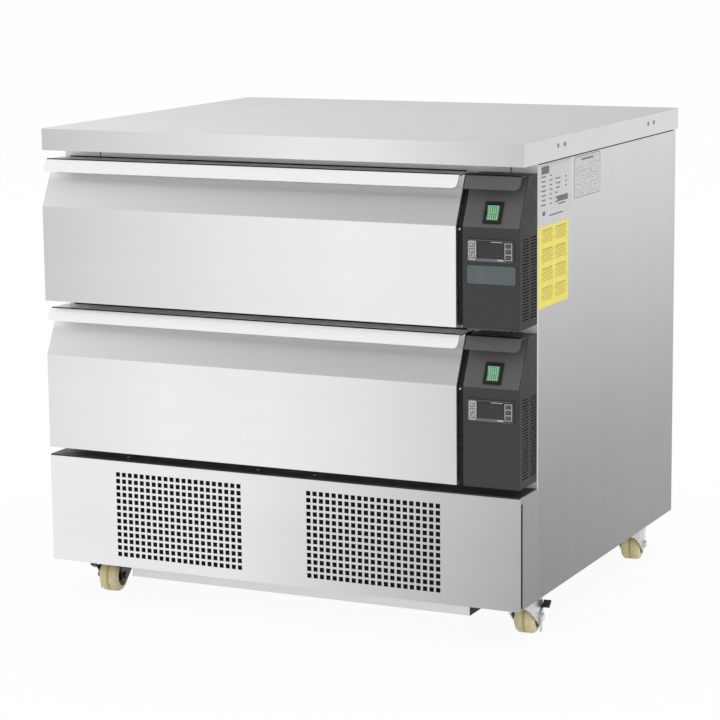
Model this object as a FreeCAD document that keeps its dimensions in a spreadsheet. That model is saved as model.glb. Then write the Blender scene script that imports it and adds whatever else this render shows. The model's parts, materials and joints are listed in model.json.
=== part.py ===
import FreeCAD, Part
import os

import Sketcher

# A stainless counter fridge freezer: two insulated drawers, each with its own control
# box on the right, over a base that holds the refrigeration, on four swivel castors.
# Millimetres. +X is the right side of a person who faces the drawers, -Y is the front
# and +Z is up. The origin is on the floor, under the middle of the whole object.

doc = FreeCAD.newDocument("CounterFridge")
sheet = doc.addObject("Spreadsheet::Sheet", "Sizes")
nodes = []


# Driving sizes


def size(alias, value):
    """Writes one driving size to the sheet, and returns the name that expressions use."""
    size.row += 1
    cell = f"A{size.row}"
    sheet.set(cell, str(value))
    sheet.setAlias(cell, alias)
    return f"Sizes.{alias}"


size.row = 0

# Cabinet
cab_width = size("cab_width", 890)
front_to_back = size("front_to_back", 780)
base_height = size("base_height", 191)
base_gap = size("base_gap", 13)
drawer_height = size("drawer_height", 246)
drawer_gap = size("drawer_gap", 15)
drawer_pitch = f"({drawer_height} + {drawer_gap})"
top_gap = size("top_gap", 16)
top_thick = size("top_thick", 38)
top_overhang = size("top_overhang", 5)
top_setback = size("top_setback", 11)
top_return = size("top_return", 22)
gauge = size("sheet_gauge", 1.5)
edge_round = size("edge_round", 1.5)
front_depth = size("front_depth", 78)
seal_depth = size("seal_depth", 8)
seat_gap = size("seat_gap", 0.3)
back_inset = size("back_inset", 12)
ledge_thick = size("ledge_thick", 2)
ledge_setback = size("ledge_setback", 1.5)
left_seam = size("left_seam", 73)
right_seam = size("right_seam", 46)
seam_width = size("seam_width", 1.6)
seam_deep = size("seam_deep", 0.8)

# Insulation and the drawers' cavities
wall_left = size("wall_left", 48)
wall_right = size("wall_right", 45)
wall_duct = size("wall_duct", 50)
wall_under = size("wall_under", 20)
wall_back = size("wall_back", 57)
cavity_rise = size("cavity_rise", 14)
cavity_top = size("cavity_top", 17)
cavity_height = f"({drawer_height} - {cavity_rise} - {cavity_top})"
liner_gauge = size("liner_gauge", 1)

# Drawer fronts and their handles
slope_height = size("slope_height", 81)
bend_height = f"({drawer_height} - {slope_height})"
slope_run = size("slope_run", 40)
lip_front = size("lip_front", 3)
lip_run = size("lip_run", 12.5)
lip_drop = size("lip_drop", 20.5)
lip_gauge = size("lip_gauge", 1.75)
lip_round = size("lip_round", 8)
recess_end = size("recess_end", 13)
recess_drop = size("recess_drop", 24)
recess_back = size("recess_back", 55)
seal_inset = size("seal_inset", 14)
seal_under = size("seal_under", 2)
seal_lap = size("seal_lap", 2)

# Drawer tubs and runners
tub_rise = size("tub_rise", 12)
tub_headroom = size("tub_headroom", 38)
tub_height = f"({cavity_height} - {tub_rise} - {tub_headroom})"
tub_behind = size("tub_behind", 30.5)
tub_gauge = size("tub_gauge", 1.2)
tub_rim = size("tub_rim", 8)
runner_width = size("runner_width", 14.5)
runner_height = size("runner_height", 45)
runner_gauge = size("runner_gauge", 1.5)
runner_slack = size("runner_slack", 0.4)
runner_setback = size("runner_setback", 8)
runner_back = size("runner_back", 2.5)
runner_rise = size("runner_rise", 47)
outer_reach = size("outer_reach", 9)
middle_start = size("middle_start", 2.2)
middle_reach = size("middle_reach", 11.5)
inner_start = size("inner_start", 4.5)

# Control boxes
control_width = size("control_width", 98)
control_gap = size("control_gap", 12)
cover_gauge = size("cover_gauge", 2)
cover_lip_end = size("cover_lip_end", 2)
strip_width = size("strip_width", 9)
strip_setback = size("strip_setback", 4)
vent_pitch = size("vent_pitch", 5)
vent_height = size("vent_height", 2.2)
vent_width = size("vent_width", 26)
vent_first = size("vent_first", 14)
vent_front = size("vent_front", 14)
vent_rear = size("vent_rear", 48)
vent_top = size("vent_top", 21)

# Controllers
bezel_width = size("bezel_width", 79)
bezel_height = size("bezel_height", 35)
bezel_proud = size("bezel_proud", 2.5)
bezel_drop = size("bezel_drop", 20)
bezel_side = f"(({control_width} - {bezel_width}) / 2)"
bezel_rise = f"({bend_height} - {bezel_drop} - {bezel_height})"
bezel_lap = size("bezel_lap", 4)
meter_depth = size("meter_depth", 50)
screen_width = size("screen_width", 47)
screen_height = size("screen_height", 26)
screen_side = size("screen_side", 17.5)
screen_deep = size("screen_deep", 0.6)
key_width = size("key_width", 10)
key_height = size("key_height", 6.8)
key_pitch = size("key_pitch", 9.2)
key_side = size("key_side", 3.5)
key_first = size("key_first", 4.8)
key_proud = size("key_proud", 0.8)
key_back = size("key_back", 1)
key_slack = size("key_slack", 0.2)
key_well = size("key_well", 2.3)
key_count = 3

# Rocker switches
switch_width = size("switch_width", 31)
switch_tall = size("switch_tall", 37)
switch_drop = size("switch_drop", 58.5)
switch_side = f"({control_width} / 2)"
switch_rise = f"({drawer_height} - {switch_drop})"
switch_proud = size("switch_proud", 2.5)
switch_lap = size("switch_lap", 3)
switch_room = size("switch_room", 0.6)
switch_deep = size("switch_deep", 18)
rocker_half_width = size("rocker_half_width", 9.9)
rocker_half_tall = size("rocker_half_tall", 12)
rocker_side_gap = size("rocker_side_gap", 0.3)
rocker_end_gap = size("rocker_end_gap", 1.7)
rocker_proud = size("rocker_proud", 3)
rocker_dip = size("rocker_dip", 1.8)
rocker_back = size("rocker_back", 5)
rocker_pivot = size("rocker_pivot", 3)
rocker_pin = size("rocker_pin", 1.5)
rocker_pin_fit = size("rocker_pin_fit", 0.08)
rocker_pin_end = size("rocker_pin_end", 11.4)
rocker_tilt = size("rocker_tilt", 6)

# Base
return_depth = size("return_depth", 8)
slot_width = size("slot_width", 7)
slot_top = size("slot_top", 10)
slot_bottom = size("slot_bottom", 3)
hole_pitch = size("hole_pitch", 11.9)
hole_side = size("hole_side", 8)
hole_rise = size("hole_rise", 22.6)
hole_top = size("hole_top", 23.6)
left_grille = size("left_grille", 137.3)
right_grille = size("right_grille", 143.7)
grille_between = size("grille_between", 133)
floor_rise = size("floor_rise", 15)
tray_left = size("tray_left", 145)
tray_right = size("tray_right", 100)
tray_front = size("tray_front", 30)
tray_back = size("tray_back", 60)
tray_drop = size("tray_drop", 24)

# Refrigeration
pot_radius = size("pot_radius", 62)
pot_height = size("pot_height", 128)
pot_round = size("pot_round", 28)
pot_side = size("pot_side", 250)
pot_back = size("pot_back", 340)
pot_foot = size("pot_foot", 10)
pot_foot_reach = size("pot_foot_reach", 78)
pot_foot_half = size("pot_foot_half", 36)
coil_side = size("coil_side", 60)
coil_width = size("coil_width", 280)
coil_height = size("coil_height", 140)
coil_front = size("coil_front", 24)
coil_deep = size("coil_deep", 44)
fin_pitch = size("fin_pitch", 10)
fin_slot = size("fin_slot", 5)
fin_deep = size("fin_deep", 6)
shroud_side = size("shroud_side", 138)
shroud_deep = size("shroud_deep", 34)
shroud_bore = size("shroud_bore", 60)
shroud_wall = size("shroud_wall", 4)
motor_radius = size("motor_radius", 24)
motor_deep = size("motor_deep", 36)
strut_width = size("strut_width", 10)
strut_deep = size("strut_deep", 4)
blade_radius = size("blade_radius", 56)
blade_width = size("blade_width", 34)
blade_deep = size("blade_deep", 16)
blade_gauge = size("blade_gauge", 3)
blade_count = 5
hub_radius = size("hub_radius", 17)
hub_deep = size("hub_deep", 18)
shaft_radius = size("shaft_radius", 3)
shaft_fit = size("shaft_fit", 0.08)
shaft_length = size("shaft_length", 14)
fan_gap = size("fan_gap", 1)
blade_root = size("blade_root", 12)
cooler_width = size("cooler_width", 320)
cooler_height = size("cooler_height", 150)
cooler_deep = size("cooler_deep", 48)
cooler_rise = size("cooler_rise", 20)

# Back panel
louvre_width = size("louvre_width", 200)
louvre_height = size("louvre_height", 5)
louvre_pitch = size("louvre_pitch", 15)
louvre_rise = size("louvre_rise", 32)
louvre_side = size("louvre_side", 100)
louvre_count = 9
gland_side = size("gland_side", 90)
gland_rise = size("gland_rise", 120)
gland_radius = size("gland_radius", 13)
gland_neck = size("gland_neck", 9)
gland_bore = size("gland_bore", 5)
gland_proud = size("gland_proud", 9)
gland_flange = size("gland_flange", 3)

# Castors
wheel_radius = size("wheel_radius", 29)
wheel_width = size("wheel_width", 36)
wheel_round = size("wheel_round", 9)
wheel_dish = size("wheel_dish", 3)
wheel_hub = size("wheel_hub", 19)
castor_trail = size("castor_trail", 22)
castor_left = size("castor_left", 81)
castor_right = size("castor_right", 26)
castor_front = size("castor_front", 88)
castor_back = size("castor_back", 160)
axle_radius = size("axle_radius", 4)
axle_fit = size("axle_fit", 0.08)
bolt_radius = size("bolt_radius", 6.5)
bolt_head = size("bolt_head", 4)
fork_gauge = size("fork_gauge", 2.5)
fork_side_gap = size("fork_side_gap", 1.2)
crown_gap = size("crown_gap", 1.5)
crown_thick = size("crown_thick", 3)
crown_half = size("crown_half", 18)
head_radius = size("head_radius", 17)
head_height = size("head_height", 14.2)
plate_thick = size("plate_thick", 3)
plate_half_width = size("plate_half_width", 22)
plate_half_length = size("plate_half_length", 30)
king_radius = size("king_radius", 5)
king_tip = size("king_tip", 1.5)
cheek_foot = size("cheek_foot", 10)
skirt_over_axle = size("skirt_over_axle", 12)
skirt_arch = size("skirt_arch", 10)
skirt_curve = size("skirt_curve", 22)
lever_gauge = size("lever_gauge", 2)
lever_ring = size("lever_ring", 9)
lever_arm = size("lever_arm", 5)
foot_near = size("foot_near", 10)
foot_far = size("foot_far", 22)
foot_rise = size("foot_rise", 13)
foot_climb = size("foot_climb", 7)
foot_thick = size("foot_thick", 3.5)
foot_across = size("foot_across", 13)
tab_half = size("tab_half", 5.5)
tab_clear = size("tab_clear", 3)

# Fasteners
rivet_radius = size("rivet_radius", 4)
rivet_proud = size("rivet_proud", 0.8)
rivet_rise = size("rivet_rise", 22)
rivet_pitch = size("rivet_pitch", 31)
rivet_front = size("rivet_front", 158)
rivet_back = size("rivet_back", 140)
screw_radius = size("screw_radius", 3)
screw_proud = size("screw_proud", 1)
ledge_screw_back = size("ledge_screw_back", 26)
ledge_screw_first = size("ledge_screw_first", 144)
ledge_screw_second = size("ledge_screw_second", 400)
ledge_screw_third = size("ledge_screw_third", 508)
strip_screw_radius = size("strip_screw_radius", 1.75)
strip_screw_side = size("strip_screw_side", 6.5)
strip_screw_low = size("strip_screw_low", 70)
strip_screw_middle = size("strip_screw_middle", 88)
strip_screw_under = size("strip_screw_under", 5)

doc.recompute()


def value(expression):
    """The number that an expression over the sheet stands for."""
    return float(sheet.evalExpression(expression))


def how_many(room, pitch):
    """How many equal steps fit in a length, counting both its ends."""
    return int(value(f"({room}) / ({pitch})") + 0.001) + 1


# Levels and planes that the pieces share

x_right = f"({cab_width} / 2)"
x_left = f"(-{cab_width} / 2)"
x_inner_right = f"({x_right} - {gauge})"
x_inner_left = f"({x_left} + {gauge})"
x_drawer = f"({x_right} - {control_width} - {control_gap})"
x_control = f"({x_right} - {control_width})"
x_cavity_left = f"({x_left} + {wall_left})"
x_cavity_right = f"({x_drawer} - {wall_right})"
x_tub_left = f"({x_cavity_left} + {liner_gauge} + {runner_width})"
x_tub_right = f"({x_cavity_right} - {liner_gauge} - {runner_width})"

y_front = f"(({bezel_proud} + {key_proud} - {front_to_back}) / 2)"
y_back = f"({y_front} + {front_to_back})"
y_frame = f"({y_front} + {front_depth})"
y_seal = f"({y_frame} - {seal_depth})"
y_foam = f"({y_frame} + {gauge})"
y_rear_out = f"({y_back} - {back_inset})"
y_rear_in = f"({y_rear_out} - {gauge})"
y_cavity = f"({y_rear_in} - {wall_back})"
y_tub_back = f"({y_cavity} - {liner_gauge} - {cooler_deep} - {tub_behind} - {tub_rim})"

z_crown = f"(2 * {wheel_radius} + {crown_gap})"
z_fork = f"({z_crown} + {crown_thick})"
z_head = f"({z_fork} + {head_height})"
z_plate = f"({z_head} + {seat_gap})"
z_floor = f"({z_plate} + {plate_thick})"
z_skirt = f"({z_floor} - {floor_rise})"
z_base = f"({z_skirt} + {base_height})"
z_steel = f"({z_base} - {ledge_thick})"
z_lower = f"({z_base} + {base_gap})"
z_upper = f"({z_lower} + {drawer_pitch})"
z_under = f"({z_upper} + {drawer_height} + {top_gap})"
z_top = f"({z_under} + {top_thick})"
z_chassis = f"({z_floor} + {gauge})"
z_foam = f"({z_base} - {wall_under})"

LEVELS = (("upper", z_upper), ("lower", z_lower))


# Helpers for bound objects

PLANES = {"x": "YZ_Plane", "y": "XZ_Plane", "z": "XY_Plane"}
MODEL_ORIGIN = -1


def bind(item, path, expression):
    item.setExpression(path, str(expression))


def rect(u_low, u_high, v_low, v_high):
    """A rectangle, as corner expressions."""
    return [(u_low, v_low), (u_high, v_low), (u_high, v_high), (u_low, v_high)]


def circle(u, v, radius):
    return {"centre": (u, v), "radius": radius}


def keep(item):
    """Marks an object as a sub-part that is written out under its label."""
    nodes.append(item)
    return item


class Piece:
    """A body made of outlines that are padded or pocketed along one of its axes."""

    def __init__(self, label, place=None, turn=None):
        self.body = doc.addObject("PartDesign::Body", label)
        self.body.Label = label
        self.count = 0
        if turn:
            axis, angle = turn
            self.body.Placement = FreeCAD.Placement(
                FreeCAD.Vector(), FreeCAD.Rotation(FreeCAD.Vector(*axis), value(angle))
            )
            bind(self.body, "Placement.Rotation.Angle", angle)
        for name, where in zip("xyz", place or ()):
            bind(self.body, f"Placement.Base.{name}", where)

    def plane(self, axis):
        features = self.body.Origin.OriginFeatures
        return next(f for f in features if f.Role == PLANES[axis])

    def line(self, axis):
        features = self.body.Origin.OriginFeatures
        return next(f for f in features if f.Role == f"{axis.upper()}_Axis")

    def new(self, kind):
        self.count += 1
        return self.body.newObject(kind, f"{self.body.Name}_{self.count}")

    def fix(self, sketch, geometry, point, u, v, name=""):
        """Holds one point of a sketch at two bound distances from its origin."""
        for kind, axis, where in (("DistanceX", "u", u), ("DistanceY", "v", v)):
            label = f"{name}{axis}{geometry}"
            index = sketch.addConstraint(
                Sketcher.Constraint(kind, MODEL_ORIGIN, 1, geometry, point, value(where))
            )
            sketch.renameConstraint(index, label)
            bind(sketch, f"Constraints.{label}", where)

    def draw(self, axis, place, loops):
        """A sketch across an axis, at a bound place along it."""
        sketch = self.new("Sketcher::SketchObject")
        sketch.AttachmentSupport = (self.plane(axis), [""])
        sketch.MapMode = "FlatFace"
        along = f"-({place})" if axis == "y" else place
        bind(sketch, "AttachmentOffset.Base.z", along)
        for loop in loops:
            first = sketch.GeometryCount
            if "centre" in loop:
                self.draw_circle(sketch, first, loop)
            elif "corner" in loop:
                self.draw_corner(sketch, first, loop)
            else:
                self.draw_polygon(sketch, first, loop)
        return sketch

    def draw_circle(self, sketch, first, loop):
        u, v = loop["centre"]
        centre = FreeCAD.Vector(value(u), value(v), 0)
        radius = value(loop["radius"])
        sketch.addGeometry(Part.Circle(centre, FreeCAD.Vector(0, 0, 1), radius), False)
        self.fix(sketch, first, 3, u, v)
        index = sketch.addConstraint(Sketcher.Constraint("Radius", first, radius))
        sketch.renameConstraint(index, f"r{first}")
        bind(sketch, f"Constraints.r{first}", loop["radius"])

    def draw_corner(self, sketch, first, loop):
        """A square corner less a quarter circle, which leaves a round when it is cut away."""
        u, v = loop["corner"]
        way_u, way_v = loop["inward"]
        radius = loop["radius"]
        u_in = f"{u} + ({way_u}) * {radius}"
        v_in = f"{v} + ({way_v}) * {radius}"
        corner = FreeCAD.Vector(value(u), value(v), 0)
        on_u = FreeCAD.Vector(value(u_in), value(v), 0)
        on_v = FreeCAD.Vector(value(u), value(v_in), 0)
        centre = FreeCAD.Vector(value(u_in), value(v_in), 0)
        between = centre + (corner - centre).normalize() * value(radius)
        sketch.addGeometry(Part.LineSegment(on_v, corner), False)
        sketch.addGeometry(Part.LineSegment(corner, on_u), False)
        sketch.addGeometry(Part.Arc(on_u, between, on_v), False)
        arc = first + 2
        starts_on_u = (sketch.getPoint(arc, 1) - on_u).Length < 1e-6
        at_u, at_v = (1, 2) if starts_on_u else (2, 1)
        sketch.addConstraint(Sketcher.Constraint("Coincident", first, 2, first + 1, 1))
        sketch.addConstraint(Sketcher.Constraint("Coincident", first + 1, 2, arc, at_u))
        sketch.addConstraint(Sketcher.Constraint("Coincident", arc, at_v, first, 1))
        self.fix(sketch, first, 1, u, v_in)
        self.fix(sketch, first + 1, 1, u, v)
        self.fix(sketch, first + 1, 2, u_in, v, name="end")
        index = sketch.addConstraint(Sketcher.Constraint("Radius", arc, value(radius)))
        sketch.renameConstraint(index, f"r{arc}")
        bind(sketch, f"Constraints.r{arc}", radius)

    def draw_polygon(self, sketch, first, loop):
        corners = [FreeCAD.Vector(value(u), value(v), 0) for u, v in loop]
        total = len(corners)
        for step in range(total):
            side = Part.LineSegment(corners[step], corners[(step + 1) % total])
            sketch.addGeometry(side, False)
        for step in range(total):
            after = first + (step + 1) % total
            sketch.addConstraint(Sketcher.Constraint("Coincident", first + step, 2, after, 1))
        for step, (u, v) in enumerate(loop):
            self.fix(sketch, first + step, 1, u, v)

    def pad(self, axis, low, high, *loops):
        """Adds the space inside the loops between two places along the axis."""
        start = high if axis == "y" else low
        profile = self.draw(axis, start, loops)
        pad = self.new("PartDesign::Pad")
        pad.Profile = profile
        bind(pad, "Length", f"{high} - ({low})")
        self.body.Tip = pad
        doc.recompute()
        return pad

    def pocket(self, axis, low, high, *loops):
        """Cuts the space inside the loops, and stops if nothing came away."""
        before = self.body.Shape.Volume
        start = low if axis == "y" else high
        profile = self.draw(axis, start, loops)
        pocket = self.new("PartDesign::Pocket")
        pocket.Profile = profile
        bind(pocket, "Length", f"{high} - ({low})")
        self.body.Tip = pocket
        doc.recompute()
        if self.body.Shape.Volume > before - 1e-3:
            raise ValueError(f"a pocket of {self.body.Label} cuts nothing")
        return pocket

    def repeat(self, feature, axis, pitch, count):
        """A row of one feature along an axis."""
        row = self.new("PartDesign::LinearPattern")
        row.Originals = [feature]
        row.Direction = (self.line(axis), [""])
        bind(row, "Length", f"({pitch}) * {count - 1}")
        row.Occurrences = count
        self.body.Tip = row
        doc.recompute()
        return row

    def ring(self, feature, axis, count):
        """A full turn of one feature about an axis of the body."""
        turn = self.new("PartDesign::PolarPattern")
        turn.Originals = [feature]
        turn.Axis = (self.line(axis), [""])
        turn.Angle = 360
        turn.Occurrences = count
        self.body.Tip = turn
        doc.recompute()
        return turn

    def round(self, radius, chosen):
        """Rounds the edges that a test picks."""
        shape = self.body.Shape
        names = [f"Edge{n}" for n, edge in enumerate(shape.Edges, 1) if chosen(edge)]
        base = self.body.Tip
        fillet = self.new("PartDesign::Fillet")
        fillet.Base = (base, names)
        bind(fillet, "Radius", radius)
        self.body.Tip = fillet
        doc.recompute()
        return fillet


def middle_of(edge):
    return edge.BoundBox.Center


def runs_along(edge, axis):
    """Whether an edge is a straight line along an axis."""
    if edge.Curve.TypeId != "Part::GeomLine":
        return False
    way = edge.Curve.Direction
    return abs(getattr(way, axis)) > 0.999


def near(number, expression):
    return abs(number - value(expression)) < 0.01


def box(name, x_low, x_high, y_low, y_high, z_low, z_high):
    """A bound block."""
    block = doc.addObject("Part::Box", name)
    for path, low, high in (
        ("Length", x_low, x_high),
        ("Width", y_low, y_high),
        ("Height", z_low, z_high),
    ):
        bind(block, path, f"{high} - ({low})")
    for axis, low in (("x", x_low), ("y", y_low), ("z", z_low)):
        bind(block, f"Placement.Base.{axis}", low)
    return block


def rod(name, radius, length, x, y, z, way):
    """A bound cylinder from a point, along a direction."""
    cylinder = doc.addObject("Part::Cylinder", name)
    spin = FreeCAD.Rotation(FreeCAD.Vector(0, 0, 1), FreeCAD.Vector(*way))
    cylinder.Placement = FreeCAD.Placement(FreeCAD.Vector(), spin)
    bind(cylinder, "Radius", radius)
    bind(cylinder, "Height", length)
    for axis, where in (("x", x), ("y", y), ("z", z)):
        bind(cylinder, f"Placement.Base.{axis}", where)
    return cylinder


def cut(name, base, tool):
    piece = doc.addObject("Part::Cut", name)
    piece.Base = base
    piece.Tool = tool
    return piece


def group(name, parts):
    """Like pieces that share one node as separate solids."""
    piece = doc.addObject("Part::Compound", name)
    piece.Links = parts
    piece.Label = name
    return keep(piece)


def tray(name, x_low, x_high, y_low, y_high, z_low, z_high, wall, open_side):
    """A thin-walled box that is open on its front or its top."""
    outside = box(f"{name}_outside", x_low, x_high, y_low, y_high, z_low, z_high)
    cut_y_low = y_low if open_side == "front" else f"{y_low} + {wall}"
    cut_z_high = z_high if open_side == "top" else f"{z_high} - {wall}"
    inside = box(
        f"{name}_inside",
        f"{x_low} + {wall}",
        f"{x_high} - {wall}",
        cut_y_low,
        f"{y_high} - {wall}",
        f"{z_low} + {wall}",
        cut_z_high,
    )
    return cut(name, outside, inside)


# Worktop


def build_worktop():
    low_x = f"{x_left} - {top_overhang}"
    high_x = f"{x_right} + {top_overhang}"
    front = f"{y_front} + {top_setback}"
    skin = Piece("worktop")
    skin.pad("z", z_under, z_top, rect(low_x, high_x, front, y_back))
    inner = rect(
        f"{low_x} + {gauge}", f"{high_x} - {gauge}", f"{front} + {gauge}", f"{y_back} - {gauge}"
    )
    opening = rect(
        f"{low_x} + {top_return}",
        f"{high_x} - {top_return}",
        f"{front} + {top_return}",
        f"{y_back} - {top_return}",
    )
    skin.pocket("z", z_under, f"{z_top} - {gauge}", opening)
    skin.pocket("z", f"{z_under} + {gauge}", f"{z_top} - {gauge}", inner)

    def outer_edge(edge):
        upright = runs_along(edge, "z") and edge.Length > value(top_thick) - 0.01
        return upright or near(middle_of(edge).z, z_top)

    skin.round(edge_round, outer_edge)
    keep(skin.body)
    core = box(
        "worktop_core",
        f"{low_x} + {gauge}",
        f"{high_x} - {gauge}",
        f"{front} + {gauge}",
        f"{y_back} - {gauge}",
        f"{z_under} + {gauge}",
        f"{z_top} - {gauge}",
    )
    keep(core)


# Cabinet shell


def side_outline():
    """The side panel, with the slot behind the edge of the base's front panel."""
    nose = f"{y_front} + {return_depth} + {seat_gap}"
    slot_back = f"{nose} + {slot_width}"
    return [
        (nose, z_skirt),
        (y_back, z_skirt),
        (y_back, z_under),
        (y_frame, z_under),
        (y_frame, z_steel),
        (nose, z_steel),
        (nose, f"{z_steel} - {slot_top}"),
        (slot_back, f"{z_steel} - {slot_top}"),
        (slot_back, f"{z_skirt} + {slot_bottom}"),
        (nose, f"{z_skirt} + {slot_bottom}"),
    ]


def build_side_panels():
    left = Piece("side_panel_left")
    left.pad("x", x_left, x_inner_left, side_outline())
    keep(left.body)
    right = Piece("side_panel_right")
    right.pad("x", x_inner_right, x_right, side_outline())
    keep(right.body)


def build_back_panel():
    panel = Piece("back_panel")
    panel.pad("y", y_rear_in, y_rear_out, rect(x_inner_left, x_inner_right, z_skirt, z_under))
    low = f"{z_skirt} + {louvre_rise}"
    high = f"{low} + {louvre_height}"
    slots = []
    for start in (f"{x_left} + {louvre_side}", f"{x_right} - {louvre_side} - {louvre_width}"):
        slots.append(rect(start, f"{start} + {louvre_width}", low, high))
    first = panel.pocket("y", y_rear_in, y_rear_out, *slots)
    panel.repeat(first, "z", louvre_pitch, louvre_count)
    hole = circle(f"{x_right} - {gland_side}", f"{z_skirt} + {gland_rise}", gland_neck)
    panel.pocket("y", y_rear_in, y_rear_out, hole)
    keep(panel.body)


def build_gland():
    x = f"{x_right} - {gland_side}"
    z = f"{z_skirt} + {gland_rise}"
    gland = Piece("cable_gland")
    gland.pad("y", y_rear_in, f"{y_rear_out} + {gland_proud}", circle(x, z, gland_neck))
    gland.pad("y", y_rear_out, f"{y_rear_out} + {gland_flange}", circle(x, z, gland_radius))
    through = f"{y_rear_out} + {gland_proud}"
    gland.pocket("y", y_rear_in, through, circle(x, z, gland_bore))
    keep(gland.body)


def cavity_rect(level):
    low = f"{level} + {cavity_rise}"
    return rect(x_cavity_left, x_cavity_right, low, f"{low} + {cavity_height}")


def build_front_frame():
    frame = Piece("front_frame")
    outside = rect(x_inner_left, x_inner_right, z_base, z_under)
    frame.pad("y", y_frame, y_foam, outside, cavity_rect(z_upper), cavity_rect(z_lower))
    seams = []
    for start in (f"{x_left} + {left_seam}", f"{x_right} - {right_seam}"):
        seams.append(rect(start, f"{start} + {seam_width}", z_base, z_under))
    frame.pocket("y", y_frame, f"{y_frame} + {seam_deep}", *seams)
    keep(frame.body)


def build_insulation():
    block = Piece("insulation_block")
    outside = rect(x_inner_left, f"{x_cavity_right} + {wall_duct}", z_foam, z_under)
    block.pad("y", y_foam, y_rear_in, outside)
    for _, level in LEVELS:
        block.pocket("y", y_foam, y_cavity, cavity_rect(level))
    keep(block.body)


def build_liners():
    liners = []
    for name, level in LEVELS:
        low = f"{level} + {cavity_rise}"
        liners.append(
            tray(
                f"liner_{name}",
                x_cavity_left,
                x_cavity_right,
                y_foam,
                y_cavity,
                low,
                f"{low} + {cavity_height}",
                liner_gauge,
                "front",
            )
        )
    group("drawer_liners", liners)


# Base


def grille_face():
    """The perforated front sheet, as one face with a square hole at each place of two grids."""
    corners = [
        (value(x_left), value(z_skirt)),
        (value(x_right), value(z_skirt)),
        (value(x_right), value(z_steel)),
        (value(x_left), value(z_steel)),
    ]
    pitch = value(hole_pitch)
    half = value(hole_side) / 2
    y = value(y_front)
    room_across = f"({cab_width} - {left_grille} - {right_grille} - {grille_between}) / 2"
    room_up = f"{base_height} - {ledge_thick} - {hole_rise} - {hole_top}"
    columns = how_many(room_across, hole_pitch)
    rows = how_many(room_up, hole_pitch)
    low_row = value(f"{z_skirt} + {hole_rise}")
    from_left = value(f"{x_left} + {left_grille}")
    from_right = value(f"{x_right} - {right_grille} - {hole_pitch} * {columns - 1}")

    def wire(points):
        ring = [FreeCAD.Vector(x, y, z) for x, z in points]
        return Part.makePolygon(ring + ring[:1])

    holes = []
    for first in (from_left, from_right):
        for column in range(columns):
            for row in range(rows):
                x = first + column * pitch
                z = low_row + row * pitch
                square = ((-1, -1), (1, -1), (1, 1), (-1, 1))
                holes.append(wire([(x + a * half, z + b * half) for a, b in square]))
    return Part.Face([wire(corners)] + holes, "Part::FaceMakerCheese")


def build_grille_panel():
    thick = value(gauge)
    deep = value(return_depth)
    low = FreeCAD.Vector(value(x_left), value(y_front), value(z_skirt))
    wide = value(cab_width)
    tall = value(f"{z_steel} - ({z_skirt})")
    sheet_front = grille_face().extrude(FreeCAD.Vector(0, thick, 0))
    returns = [
        Part.makeBox(thick, deep, tall, low),
        Part.makeBox(thick, deep, tall, low + FreeCAD.Vector(wide - thick, 0, 0)),
        Part.makeBox(wide, deep, thick, low),
        Part.makeBox(wide, deep, thick, low + FreeCAD.Vector(0, 0, tall - thick)),
    ]
    panel = doc.addObject("Part::Feature", "base_grille_panel")
    panel.Shape = sheet_front.multiFuse(returns).removeSplitter()
    keep(panel)


def build_base():
    ledge = Piece("base_ledge")
    front = f"{y_front} + {ledge_setback}"
    ledge.pad("z", z_steel, z_base, rect(x_left, x_right, front, y_frame))
    keep(ledge.body)
    floor = Piece("base_floor")
    floor_front = f"{y_front} + {return_depth} + {seat_gap}"
    floor.pad("z", z_floor, z_chassis, rect(x_inner_left, x_inner_right, floor_front, y_rear_in))
    keep(floor.body)
    pan = tray(
        "drip_tray",
        f"{x_left} + {tray_left}",
        f"{x_right} - {tray_right}",
        f"{y_front} + {tray_front}",
        f"{y_back} - {tray_back}",
        f"{z_skirt} - {tray_drop}",
        z_floor,
        gauge,
        "top",
    )
    keep(pan)


# Refrigeration


def build_compressor():
    x = f"{x_right} - {pot_side}"
    y = f"{y_back} - {pot_back}"
    pot = Piece("compressor", place=(x, y, z_chassis))
    foot = rect(f"-{pot_foot_reach}", pot_foot_reach, f"-{pot_foot_half}", pot_foot_half)
    pot.pad("z", "0", pot_foot, foot)
    pot.pad("z", pot_foot, f"{pot_foot} + {pot_height}", circle("0", "0", pot_radius))

    def top_edge(edge):
        return near(edge.BoundBox.ZMin, f"{z_chassis} + {pot_foot} + {pot_height}")

    pot.round(pot_round, top_edge)
    keep(pot.body)


def build_condenser():
    left = f"{x_left} + {coil_side}"
    front = f"{y_front} + {coil_front}"
    back = f"{front} + {coil_deep}"
    high = f"{z_chassis} + {coil_height}"
    coil = Piece("condenser")
    coil.pad("y", front, back, rect(left, f"{left} + {coil_width}", z_chassis, high))
    slot_left = f"{left} + {fin_pitch} - {fin_slot} / 2"
    slot_low = f"{z_chassis} + {fin_slot}"
    slot = rect(slot_left, f"{slot_left} + {fin_slot}", slot_low, f"{high} - {fin_slot}")
    cut_one = coil.pocket("y", front, f"{front} + {fin_deep}", slot)
    coil.repeat(cut_one, "x", fin_pitch, how_many(f"{coil_width} - 2 * {fin_pitch}", fin_pitch))
    keep(coil.body)


def fan_centre():
    x = f"{x_left} + {coil_side} + {coil_width} / 2"
    y = f"{y_front} + {coil_front} + {coil_deep}"
    z = f"{z_chassis} + {coil_height} / 2"
    return x, y, z


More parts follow.
